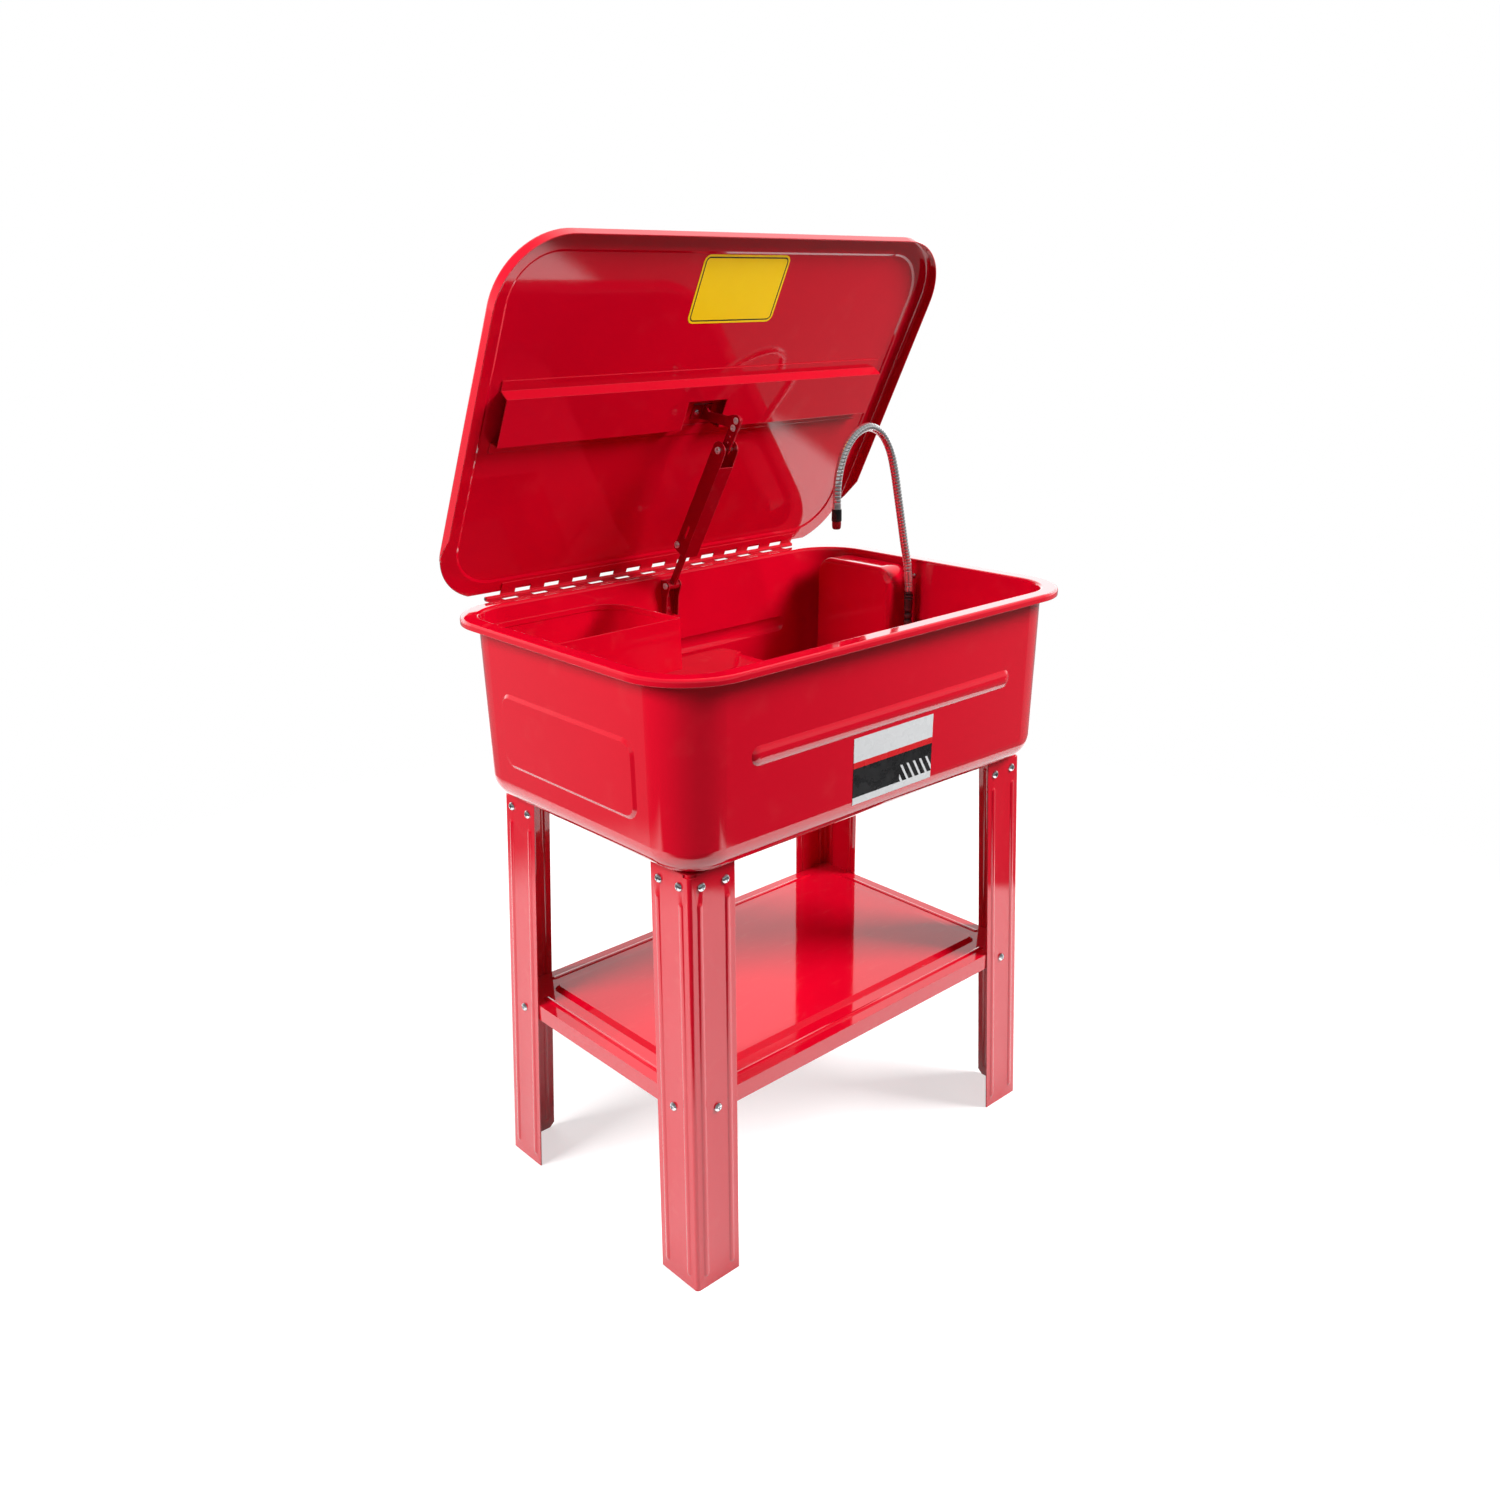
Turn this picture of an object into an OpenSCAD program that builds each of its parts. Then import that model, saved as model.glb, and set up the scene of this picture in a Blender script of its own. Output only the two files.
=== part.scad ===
// Parts washer tank: a drawn sheet steel tub on four splayed angle legs with a lower shelf,
// a hinged lid held open by a stay with a fusible link, and a pump with a flexible spout.
// Millimetres, +Z up, floor at Z = 0, front of the tub towards -Y, lid drawn open.

/* [Tub] */
// Outside width of the tub at its top, left to right
tank_w = 676; // [560:1:820]
// Outside depth of the tub at its top, front to back
tank_d = 443; // [370:1:540]
// Height of the tub from its underside to the top of the rim
tank_h = 244; // [195:1:300]
// Plan radius of the tub's corners at the top
tank_r = 66; // [54:1:80]
// Sheet thickness of the tub
tank_t = 1.2; // [0.8:0.1:1.6]
// How far the walls lean in from top to bottom
tank_draft = 4; // [2:0.5:6]
// Outside radius of the bend from floor to wall
floor_r = 34; // [26:1:42]
// Overhang of the rim from the wall to the outside of its lip
rim_w = 23; // [18:1:28]
// Length of the rim's turned-down lip below its bend
rim_lip = 5; // [3:0.5:9]
// Inside radius of the rim's two bends
rim_bend = 3; // [2:0.5:4]
// Distance from the end of a long wall's straight to the end of its bead
bead_end = 37; // [20:1:80]
// Width of that bead across the wall
bead_w = 24; // [16:1:30]
// Height the bead stands out of the wall
bead_rise = 4; // [2:0.5:6]
// Height of the bead's middle above the tub's underside
bead_z = 133; // [110:1:150]
// Distance from the end of an end wall's straight to the end of its raised panel
panel_end = 21.5; // [10:0.5:50]
// Height of that panel
panel_h = 95; // [70:1:120]
// Corner radius of that panel
panel_r = 18; // [12:1:28]
// Height the panel stands out of the end wall
panel_rise = 3; // [2:0.5:5]
// Height of the panel's middle above the tub's underside
panel_z = 107; // [95:1:125]

/* [Stand] */
// Height of the tub's underside above the floor
stand_h = 560; // [420:1:700]
// Distance from the tub's outside to the leg corner, at the top of the leg
leg_in = 30; // [24:1:38]
// Angle that each leg leans out in both directions
leg_splay = 1.85; // [0:0.05:3]
// Width of each leg flange
leg_w = 70; // [56:1:84]
// Sheet thickness of the legs and of the brackets under the tub
leg_t = 1.8; // [1.2:0.1:3]
// Outside radius of the bend along the leg's corner
leg_bend = 5; // [3:0.5:8]
// Distance from the leg corner to the middle of the inner rib
rib_near = 15.5; // [12:0.5:20]
// Distance from the leg corner to the middle of the outer rib
rib_far = 58; // [46:0.5:62]
// Width of each pressed rib
rib_w = 9; // [6:0.5:12]
// Height each rib stands out of its flange
rib_rise = 1.6; // [1:0.1:2.5]
// Distance from the top of the leg to the upper end of the ribs
rib_top = 36; // [30:1:60]
// Distance from the floor to the lower end of the ribs
rib_foot = 16; // [10:1:40]
// Cut across each free bottom corner of a leg
foot_cut = 9; // [0:1:15]
// Height of the shelf's ledge above the floor
shelf_z = 262; // [180:1:340]
// Height of the shelf's turned-down flange
shelf_flange = 23; // [16:1:32]
// Sheet thickness of the shelf
shelf_t = 1.2; // [0.8:0.1:2]
// Width of the ledge around the shelf's raised middle
shelf_ledge = 40; // [30:1:55]
// Height of the raised middle above the ledge
shelf_rise = 6; // [3:0.5:10]
// Slope width between ledge and raised middle
shelf_slope = 6; // [3:0.5:10]
// Width of the bead along each ledge
shelf_bead_w = 9; // [6:0.5:12]

/* [Fasteners] */
// Shank diameter of the bolts on the legs
bolt_d = 6; // [5:0.5:8]
// Diameter of the domed bolt heads
bolt_head_d = 11.5; // [9:0.5:14]
// Height of the domed bolt heads
bolt_head_h = 3.6; // [2.5:0.1:5]
// Width across the corners of the nuts
nut_d = 11.5; // [9:0.5:15]
// Thickness of the nuts
nut_h = 5; // [3:0.5:7]
// Distance from the leg corner to the first top bolt
bolt_near = 18; // [14:0.5:24]
// Distance from the leg corner to the second top bolt
bolt_far = 55; // [44:0.5:60]
// Distance of the top bolts below the tub's underside
bolt_drop = 16.5; // [12:0.5:22]
// Distance from the leg corner to the shelf bolt
bolt_shelf = 38; // [28:0.5:46]
// Room around a shank in its hole
hole_gap = 0.3; // [0.1:0.05:0.6]

/* [Lid] */
// Angle that the lid stands open in the drawn position
lid_open = 63; // [40:0.5:75]
// Sheet thickness of the lid
lid_t = 1.2; // [0.8:0.1:2]
// Depth of the lid's turned lip
lid_lip = 18; // [12:0.5:26]
// Outside radius of the bend from the lid's top to its lip
lid_bend = 6; // [3:0.5:9]
// Plan radius of the lid's corners
lid_r = 90; // [70:1:105]
// Room between the rim and the lid's lip at the sides
lid_gap = 1.6; // [0.8:0.1:3]
// Room between the rim and the lid's lip at the front
lid_front = 8; // [3:0.5:12]
// Distance from the hinge pin to the lid's rear edge
lid_back = 7; // [6:0.5:10]
// Width of the lid's border around its raised middle
lid_border = 26; // [23:0.5:40]
// Height that the lid's middle is raised
lid_step = 1.6; // [0.8:0.1:3]
// Distance from the hinge pin to where the side lips have run out
lip_end = 70; // [50:1:100]
// Length over which the side lips run out
lip_run = 45; // [20:1:80]
// How far the hinge runs past each end of the rear wall's straight
hinge_past = 9; // [0:1:24]
// Number of knuckles on each leaf
hinge_n = 12; // [8:1:14]
// Outside diameter of the knuckles
hinge_d = 6.4; // [5:0.2:8]
// Diameter of the hinge pin
hinge_pin_d = 3.2; // [2.5:0.1:4]
// Thickness of the two leaves
hinge_t = 1; // [0.8:0.1:1.4]
// Width of each leaf from the pin
hinge_w = 20; // [16:0.5:22]
// Depth of the notches in both leaves from the pin
hinge_notch = 11; // [9:0.5:13]
// Running clearance around the pin in the knuckles
hinge_run = 0.06; // [0.02:0.01:0.1]
// Gap between neighbouring knuckles
hinge_gap = 0.5; // [0.3:0.1:1]
// Distance from the lid's side to the end of its stiffening channel
hat_end = 43.7; // [36:0.1:80]
// Width of the channel's raised face
hat_w = 64; // [50:1:80]
// Height of the channel above the lid
hat_h = 16; // [10:0.5:20]
// Width of the channel's two flanges
hat_flange = 13; // [8:0.5:18]
// Lean of the channel's two sides over their height
hat_lean = 3; // [0:0.5:6]
// Distance from the hinge pin to the middle of the channel
hat_s = 270; // [200:1:300]
// Width of the notch in the channel for the stay's bracket
notch_w = 66; // [50:1:80]
// How far that notch cuts up into the raised face
notch_h = 42; // [30:1:50]

/* [Lid stay] */
// Sideways position of the stay
stay_x = 4; // [-40:1:40]
// Distance of the lower pivot in front of the rear wall's inner face
stay_pin_in = 11; // [9:0.5:16]
// Distance of the lower pivot below the top of the rear wall
stay_pin_drop = 11; // [9:0.5:20]
// Upper pivot's distance from the hinge, along the lid
stay_top_s = 235; // [200:1:250]
// Upper pivot's distance from the hinge, square to the lid
stay_top_n = 60; // [50:1:66]
// Diameter of the stay's pivot pins
stay_pin_d = 6; // [5:0.5:8]
// Running clearance around those pins
stay_run = 0.06; // [0.02:0.01:0.1]
// Outside width of the stay's channel
arm_w = 24; // [20:0.5:30]
// Sheet thickness of the stay's channel and brackets
arm_t = 1.5; // [1:0.1:2]
// Length of the channel below its pivot
arm_len = 172; // [140:1:174]
// Inside width of the stay's foot bracket
foot_w = 20; // [14:0.5:30]
// Length of the foot bracket below its pin
foot_len = 46; // [40:1:60]
// Width of the sliding bar
bar_w = 10; // [8:0.5:12]
// Thickness of the sliding bar
bar_t = 4; // [3:0.5:5]
// Length of the sliding bar above its pivot
bar_len = 176; // [120:1:178]
// Free play of the bar towards the channel's web
bar_play = 6.6; // [6:0.1:9]
// Free play of the bar towards the guide bolt, and beside other parts
bar_gap = 0.5; // [0.3:0.1:1]
// Thickness of the fusible link
link_t = 2.5; // [1.5:0.1:3]
// Width of the fusible link
link_w = 15; // [12:0.5:18]
// Distance from the upper pivot to the first rivet of the link
link_len = 34; // [28:1:44]

/* [Inside the tub] */
// Length of the small-parts tray along the rear wall
tray_len = 232; // [180:1:250]
// Depth of the tray from the rear wall to its front
tray_d = 155; // [120:1:180]
// Height of the tray
tray_h = 70; // [50:1:84]
// Sheet thickness of the tray
tray_t = 1; // [0.8:0.1:1.5]
// Distance of the tray's top below the top of the rear wall
tray_drop = 20; // [10:1:30]
// Room between the tray and the tub's left wall
tray_gap = 3; // [1:0.5:8]
// Plan radius of the tray's right rear corner
tray_r = 45; // [20:1:70]
// Height of the work shelf above the tub's floor
bench_h = 129; // [100:1:132]
// Sheet thickness of the work shelf
bench_t = 1.5; // [1:0.1:2]
// Distance from the outside of the front and rear walls to the work shelf
bench_side = 29.5; // [22:0.5:50]
// Length of the work shelf, left to right
bench_len = 370; // [300:1:400]
// Plan radius of the work shelf's corners
bench_r = 42; // [30:1:60]
// Outside radius of the bends at the work shelf's two ends
bench_bend = 10; // [6:1:14]
// Height of the turned-down edges at the work shelf's front and rear
bench_edge = 12; // [8:1:18]
// Distance of the pump cover's face from the right wall
cover_d = 51; // [48:1:60]
// Width of the pump cover, front to back
cover_w = 150; // [130:1:150]
// Position of the pump cover's front along the right wall
cover_y = 45; // [45:1:50]
// Distance of the pump cover's top below the top of the right wall
cover_drop = 6; // [4:0.5:14]
// Sheet thickness of the pump cover
cover_t = 1.2; // [0.8:0.1:2]
// Outside radius of the bends around the pump cover's face
cover_bend = 8; // [5:0.5:10]
// Plan radius of the pump cover's top corners
cover_r = 26; // [18:1:34]
// Width of the flange that holds the pump cover to the wall
cover_flange = 12; // [10:0.5:14]
// Diameter of the pump's motor housing
pump_d = 40; // [34:1:42]
// Height of the pump's motor housing
pump_h = 70; // [50:1:80]
// Distance from the rear end of the right wall's straight to the pump
pump_back = 47.5; // [44:0.5:56]
// Height of the pump's strainer above the tub's underside
pump_z = 37; // [34:1:50]
// Thickness of the strap that hangs the pump on the wall
strap_t = 2; // [1.5:0.1:3]
// Diameter of the drain hole
drain_d = 22; // [16:0.5:28]

/* [Spout] */
// Position of the spout along the right wall
spout_y = 30; // [20:1:32]
// Distance of the spout's foot from the right wall's inner face
spout_in = 21; // [16:0.5:26]
// Distance of the spout's foot below the top of the right wall
spout_drop = 35; // [25:1:50]
// Outside diameter of the metal neck
neck_d = 12; // [10:0.5:14]
// Bore of the metal neck
neck_bore = 7.5; // [5:0.5:8]
// Pitch of the neck's interlocked turns
neck_pitch = 5; // [4:0.25:8]
// Depth of the groove between two turns
neck_groove = 0.6; // [0.3:0.1:0.8]
// Outside diameter of the hose below the neck
hose_d = 13; // [12:0.5:16]
// Bore of the hose
hose_bore = 9; // [7:0.5:10]
// Pitch of the hose's ribs
hose_pitch = 10; // [4:0.5:12]
// Depth of the groove between two ribs
hose_groove = 1.2; // [0.5:0.1:1.5]
// Diameter of the ball at the neck's foot
ball_d = 16; // [14:0.5:18]
// Room between the ball and its socket
ball_gap = 0.3; // [0.2:0.05:0.5]
// Lean of the neck at its foot
neck_lean = 8; // [0:0.5:12]
// Length of the black collar at the neck's end
collar_len = 14; // [10:0.5:20]
// Diameter of that collar
collar_d = 14.4; // [13:0.2:17]
// Length of the nozzle below the collar
tip_len = 14; // [10:0.5:20]

/* [Hidden] */
$fn = 48;
far = 2000;
eps = 0.01;
// Overlap of a leaning sheet with the bends at its ends, and a length rounded so that seams meet
lap = 0.02;
function near(x) = round(100 * x) / 100;
rim_z = stand_h + tank_h;
// Plan centres of the tub's corners
cx = tank_w / 2 - tank_r;
cy = tank_d / 2 - tank_r;
// Radius of the flat floor within a corner, lean of the walls, and length of a wall between its bends
flat_r = tank_r - tank_draft - floor_r;
lean = atan(tank_draft / (tank_h - floor_r));
wall_len = (tank_h - tank_t - rim_bend - floor_r + (floor_r + rim_bend) * sin(lean)) / cos(lean);
// Middle of the bend from wall to rim, measured from a corner's centre and from the underside
rim_cx = flat_r + (floor_r + rim_bend) * cos(lean) + wall_len * sin(lean);
rim_cz = floor_r - (floor_r + rim_bend) * sin(lean) + wall_len * cos(lean);
rim_flat = rim_w - 2 * rim_bend - tank_t;
rim_r = rim_cx + rim_flat + rim_bend + tank_t;
rim_hx = cx + rim_r;
rim_hy = cy + rim_r;
floor_z = stand_h + tank_t;
// Beads and panels pressed in the straight walls
bead_len = 2 * (cx - bead_end);
panel_w = 2 * (cy - panel_end);
// Place on a wall: height along the wall, and world position of a point at distance x from its outside
function wall_v(z) = (z - stand_h - floor_r + floor_r * sin(lean)) / cos(lean);
function wall_off(half, x, v) = half + flat_r + (floor_r + x) * cos(lean) + v * sin(lean);
function wall_z(x, v) = stand_h + floor_r - (floor_r + x) * sin(lean) + v * cos(lean);
// Corner of a leg at its top
leg_x = tank_w / 2 - leg_in;
leg_y = tank_d / 2 - leg_in;
leg_len = stand_h / cos(leg_splay);
leg_seat = 0.3;
brk_h = 2 * bolt_drop;
rib_len = leg_len - rib_top - rib_foot;
shelf_bolt_v = (stand_h - shelf_z + 0.58 * shelf_flange) / cos(leg_splay);
// Inside half sizes between the legs at the shelf's ledge
shelf_seat = 0.15;
leg_grow = (stand_h - shelf_z) * tan(leg_splay);
shelf_hx = near(leg_x + leg_grow - leg_t / cos(leg_splay) - shelf_seat);
shelf_hy = near(leg_y + leg_grow - leg_t / cos(leg_splay) - shelf_seat);
// Small screws and rivets, and the hole for the cord
screw_d = 4;
screw_head_d = 8;
screw_head_h = 2.4;
rivet_head_h = 1.6;
grommet_d = 14;
// Hinge pin, and the inner faces of the lid's border and raised middle above it when shut
hinge_len = 2 * (cx + hinge_past);
hinge_back = hinge_d / 2 + 1.2;
hinge_y = rim_hy + hinge_back;
hinge_up = hinge_d / 2 - 0.1;
hinge_z = rim_z + hinge_up;
lid_n = hinge_up;
lid_in = lid_n + lid_step;
lid_top = lid_n + lid_t;
lid_hx = rim_hx + lid_gap + lid_t;
lid_smax = hinge_y + rim_hy + lid_front + lid_t;
lid_rear = lid_back - lid_bend - 3;
lid_hy = (lid_smax - lid_rear) / 2;
knuckle = hinge_len / (2 * hinge_n);
hat_len = near(2 * (lid_hx - hat_end));
// The stay's pivots: lower one on the rear wall, upper one on the lid, both in the plane X = stay_x
pin_v = wall_len - stay_pin_drop;
pin_x = -tank_t - stay_pin_in;
pl_y = wall_off(cy, pin_x, pin_v);
pl_z = wall_z(pin_x, pin_v);
pu_y = hinge_y - stay_top_s * cos(lid_open) - stay_top_n * sin(lid_open);
pu_z = hinge_z + stay_top_s * sin(lid_open) - stay_top_n * cos(lid_open);
arm_a = atan2(pl_z - pu_z, pl_y - pu_y);
arm_span = sqrt(pow(pl_z - pu_z, 2) + pow(pl_y - pu_y, 2));
pin_r = stay_pin_d / 2;
web_z = -bar_w / 2 - bar_play;
guide_r = 2.5;
guide_z = bar_w / 2 + bar_gap + guide_r;
arm_top = guide_z + guide_r + 1.5;
guide_y = arm_len - 8;
ear_r = pin_r + 4.5;
// The link runs up from the upper pivot, along the stay's line when the lid is open
link_a = arm_a + lid_open;
rivet_step = 11;
bolt_step = 18;
bracket_foot = 22;
bracket_y = -hat_s + hat_w / 2 - notch_h / 2 + 4;
function link_point(k) = [-stay_top_s - k * cos(link_a), -stay_top_n - k * sin(link_a)];
// Tray and cover
tray_y0 = tank_w / 2 - tank_draft - tank_t - tray_gap - tray_len;
tray_top = wall_len - tray_drop;
cover_top = wall_len - cover_drop;
cover_foot = 4;
bench_x1 = -(cx + flat_r) + 4;
bench_d = tank_d - 2 * bench_side;
bench_z = floor_z + bench_h;
// Spout: foot of the neck
foot_v = wall_len - spout_drop;
spout_x = wall_off(cx, -tank_t - spout_in, foot_v);
spout_z = wall_z(-tank_t - spout_in, foot_v);
pump_y = cy - pump_back;
pump_in = pump_d / 2 + 6;
strap_v = wall_v(stand_h + panel_z + panel_h / 2 + panel_rise) + 12;
grommet_y = cy - 1.5 * grommet_d;
pump_x = wall_off(cx, -tank_t - pump_in, wall_len * 0.3);
volute_d = pump_d + 4;
volute_h = 22;
strainer_d = 28;
strainer_h = 15;
motor_z = stand_h + pump_z + strainer_h + volute_h;
outlet_z = stand_h + pump_z + strainer_h + volute_h / 2;
outlet_d = 12;
elbow_r = 12;
hose_z0 = outlet_z + elbow_r + 8;
seat_drop = 6.5;
hose_z1 = spout_z - 17;
neck_z0 = 18;
// Route of the neck from its foot, across and up, in the plane of the spout: straight ends, one bow
function neck_lead(k) = [-k * sin(neck_lean), k * cos(neck_lean)];
neck_route = [
  neck_lead(neck_z0), neck_lead(neck_z0 + 13), neck_lead(neck_z0 + 22),
  [-13, 66], [-22, 104], [-31, 142], [-40, 178], [-51, 208], [-69, 231], [-95, 242],
  [-121, 235], [-141, 216], [-152, 192], [-157, 170], [-158, 153], [-158, 144], [-158, 135]
];
neck_end = neck_route[len(neck_route) - 1];
drain_x = tank_w / 4;
// Switch between one node and the whole part
red = [0.80, 0.08, 0.12];
zinc = [0.78, 0.79, 0.80];
steel = [0.55, 0.56, 0.58];
black = [0.08, 0.08, 0.09];

// Sector of a bent sheet in a profile: outside radius ro, sheet t, from angle a0 to a1
module bend(c, ro, t, a0, a1) {
  am = (a0 + a1) / 2;
  w = 2 * ro;
  translate(c)
    intersection() {
      difference() {
        circle(ro);
        circle(ro - t);
      }
      polygon([
        [0, 0], [w * cos(a0), w * sin(a0)],
        [w * cos(am), w * sin(am)], [w * cos(a1), w * sin(a1)]
      ]);
    }
}

// Sweeps a profile round a rectangle with round corners; the profile's x starts at a corner's centre
module round_frame(hx, hy, r) {
  kx = near(hx - r);
  ky = near(hy - r);
  for (q = [[1, 1, 0], [-1, 1, 90], [-1, -1, 180], [1, -1, 270]])
    translate([q[0] * kx, q[1] * ky, 0])
      rotate([0, 0, q[2]])
        rotate_extrude(angle = 90)
          children();
  for (m = [0, 1]) {
    mirror([0, m, 0])
      translate([-kx, ky, 0])
        rotate([90, 0, 90])
          linear_extrude(2 * kx)
            children();
    mirror([m, 0, 0])
      translate([kx, ky, 0])
        rotate([90, 0, 0])
          linear_extrude(2 * ky)
            children();
  }
}

// Rectangle with round corners in plan
module round_rect(hx, hy, r) {
  square([2 * hx, 2 * (hy - r)], center = true);
  square([2 * (hx - r), 2 * hy], center = true);
  for (sx = [-1, 1], sy = [-1, 1])
    translate([sx * (hx - r), sy * (hy - r)])
      circle(r);
}

// Capsule along X, for pressed beads and ribs
module capsule(len, r) {
  translate([-len / 2, 0, 0])
    rotate([0, 90, 0])
      cylinder(h = len, r = r);
  for (s = [-1, 1])
    translate([s * len / 2, 0, 0])
      sphere(r);
}

// Radius of the arc through a bead's width and rise
function bead_arc(w, h) = (w * w / 4 + h * h) / (2 * h);

// Outside of a bead that stands up out of the plane Z = 0, and the hollow behind it
module bead_out(len, w, h, t) {
  r = bead_arc(w, h);
  intersection() {
    translate([0, 0, h - r])
      capsule(len - w, r);
    translate([-len, -w, -t])
      cube([2 * len, 2 * w, t + 2 * h]);
  }
}

module bead_in(len, w, h, t) {
  r = bead_arc(w, h);
  translate([0, 0, h - r])
    capsule(len - w, r - t);
}

// Domed bolt along +Z, head below Z = 0
module bolt(len, d = bolt_d, hd = bolt_head_d, hh = bolt_head_h) {
  r = bead_arc(hd, hh);
  rotate([180, 0, 0])
    rotate_extrude()
      intersection() {
        translate([0, hh - r])
          circle(r);
        square([hd / 2, hh]);
      }
  translate([0, 0, -hh / 2])
    cylinder(h = len + hh / 2, d = d);
}

module nut(d = bolt_d) {
  difference() {
    cylinder(h = nut_h, d = nut_d, $fn = 6);
    translate([0, 0, -1])
      cylinder(h = nut_h + 2, d = d + 0.1);
  }
}

// Frame on a wall: X out of the wall, Z up along it, origin at the foot of its flat on the outside
module on_wall(a, half) {
  rotate([0, 0, a])
    translate([half + flat_r, 0, stand_h + floor_r])
      rotate([0, lean, 0])
        translate([floor_r, 0, 0])
          children();
}

module on_right() {
  on_wall(0, cx)
    children();
}

module on_rear() {
  on_wall(90, cy)
    children();
}

// Profile of the tub's sheet: floor, bend, wall, rim and lip
module tub_profile() {
  square([flat_r, tank_t]);
  bend([flat_r, floor_r], floor_r, tank_t, -90, -lean);
  translate([flat_r, floor_r])
    rotate(-lean)
      translate([floor_r - tank_t, -lap])
        square([tank_t, wall_len + 2 * lap]);
  bend([rim_cx, rim_cz], rim_bend + tank_t, tank_t, 90, 180 - lean);
  translate([rim_cx, rim_cz + rim_bend])
    square([rim_flat, tank_t]);
  bend([rim_cx + rim_flat, rim_cz], rim_bend + tank_t, tank_t, 0, 90);
  translate([rim_cx + rim_flat + rim_bend, rim_cz - rim_lip])
    square([tank_t, rim_lip]);
}

// Raised panel with sloped sides, standing out of the plane Z = 0
module panel_solid() {
  r = panel_r;
  translate([0, 0, -tank_t / 2])
    linear_extrude(panel_rise + tank_t / 2)
      square([panel_w - 2 * r, panel_h - 2 * r], center = true);
  round_frame(panel_w / 2, panel_h / 2, r)
    polygon([
      [0, -tank_t / 2], [r + panel_rise / 2, -tank_t / 2], [r + panel_rise / 2, 0],
      [r - panel_rise, panel_rise], [0, panel_rise]
    ]);
}

module on_panel(a) {
  on_wall(a, cx)
    translate([0, 0, wall_v(stand_h + panel_z)])
      rotate([0, 90, 0])
        rotate([0, 0, 90])
          children();
}

module on_bead(a) {
  on_wall(a, cy)
    translate([0, 0, wall_v(stand_h + bead_z)])
      rotate([0, 90, 0])
        rotate([0, 0, 90])
          children();
}

module tub() {
  color(red)
    difference() {
      union() {
        translate([0, 0, stand_h]) {
          round_frame(cx + tank_r, cy + tank_r, tank_r)
            tub_profile();
          translate([-cx, -cy, 0])
            cube([2 * cx, 2 * cy, tank_t]);
        }
        for (a = [90, 270])
          on_bead(a)
            bead_out(bead_len, bead_w, bead_rise, tank_t / 2);
        for (a = [0, 180])
          on_panel(a)
            panel_solid();
      }
      for (a = [90, 270])
        on_bead(a)
          bead_in(bead_len, bead_w, bead_rise, tank_t);
      for (a = [0, 180])
        on_panel(a)
          translate([0, 0, -tank_t])
            panel_solid();
      translate([drain_x, 0, stand_h - 1])
        cylinder(h = tank_t + 2, d = drain_d);
      at_cover_screws()
        cylinder(h = 2 * (tank_t + panel_rise), d = screw_d + 2 * hole_gap, center = true);
      at_strap_screws()
        cylinder(h = 4 * tank_t, d = screw_d + 2 * hole_gap, center = true);
      at_foot_rivets()
        cylinder(h = 4 * tank_t, d = screw_d + 2 * hole_gap, center = true);
      at_grommet()
        cylinder(h = 4 * tank_t, d = grommet_d, center = true);
    }
}

// Screws and rivets through the tub's walls: frames with Z pointing into the tub, origin on the outside
module from_outside(y, v) {
  translate([0, y, v])
    rotate([0, -90, 0])
      children();
}

module at_cover_screws() {
  on_right()
    for (v = [0.93, 0.16])
      from_outside(cover_y - cover_flange / 2, cover_top * v)
        children();
}

module at_strap_screws() {
  on_right()
    for (k = [0, 14])
      from_outside(pump_y, strap_v + k)
        children();
}

module at_foot_rivets() {
  on_rear()
    for (k = [0.4, 0.8])
      from_outside(-stay_x, pin_v - k * foot_len)
        children();
}

module at_grommet() {
  on_right()
    from_outside(grommet_y, strap_v + 8)
      children();
}

// Frame of a leg: corner at the origin, X and Y along its two flanges, Z up the leg
module leg_frame(sx, sy) {
  mirror([sx > 0 ? 1 : 0, 0, 0])
    mirror([0, sy > 0 ? 1 : 0, 0])
      translate([-leg_x, -leg_y, stand_h])
        rotate([-leg_splay, leg_splay, 0])
          children();
}

// The two flanges of a leg in turn: X along the flange, Y up the leg, Z into the corner
module on_flanges() {
  rotate([90, 0, 0])
    mirror([0, 0, 1])
      children();
  mirror([1, -1, 0])
    rotate([90, 0, 0])
      mirror([0, 0, 1])
        children();
}

module angle_profile(w, t, r) {
  bend([r, r], r, t, 180, 270);
  translate([r, 0])
    square([w - r, t]);
  translate([0, r])
    square([t, w - r]);
}

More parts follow.
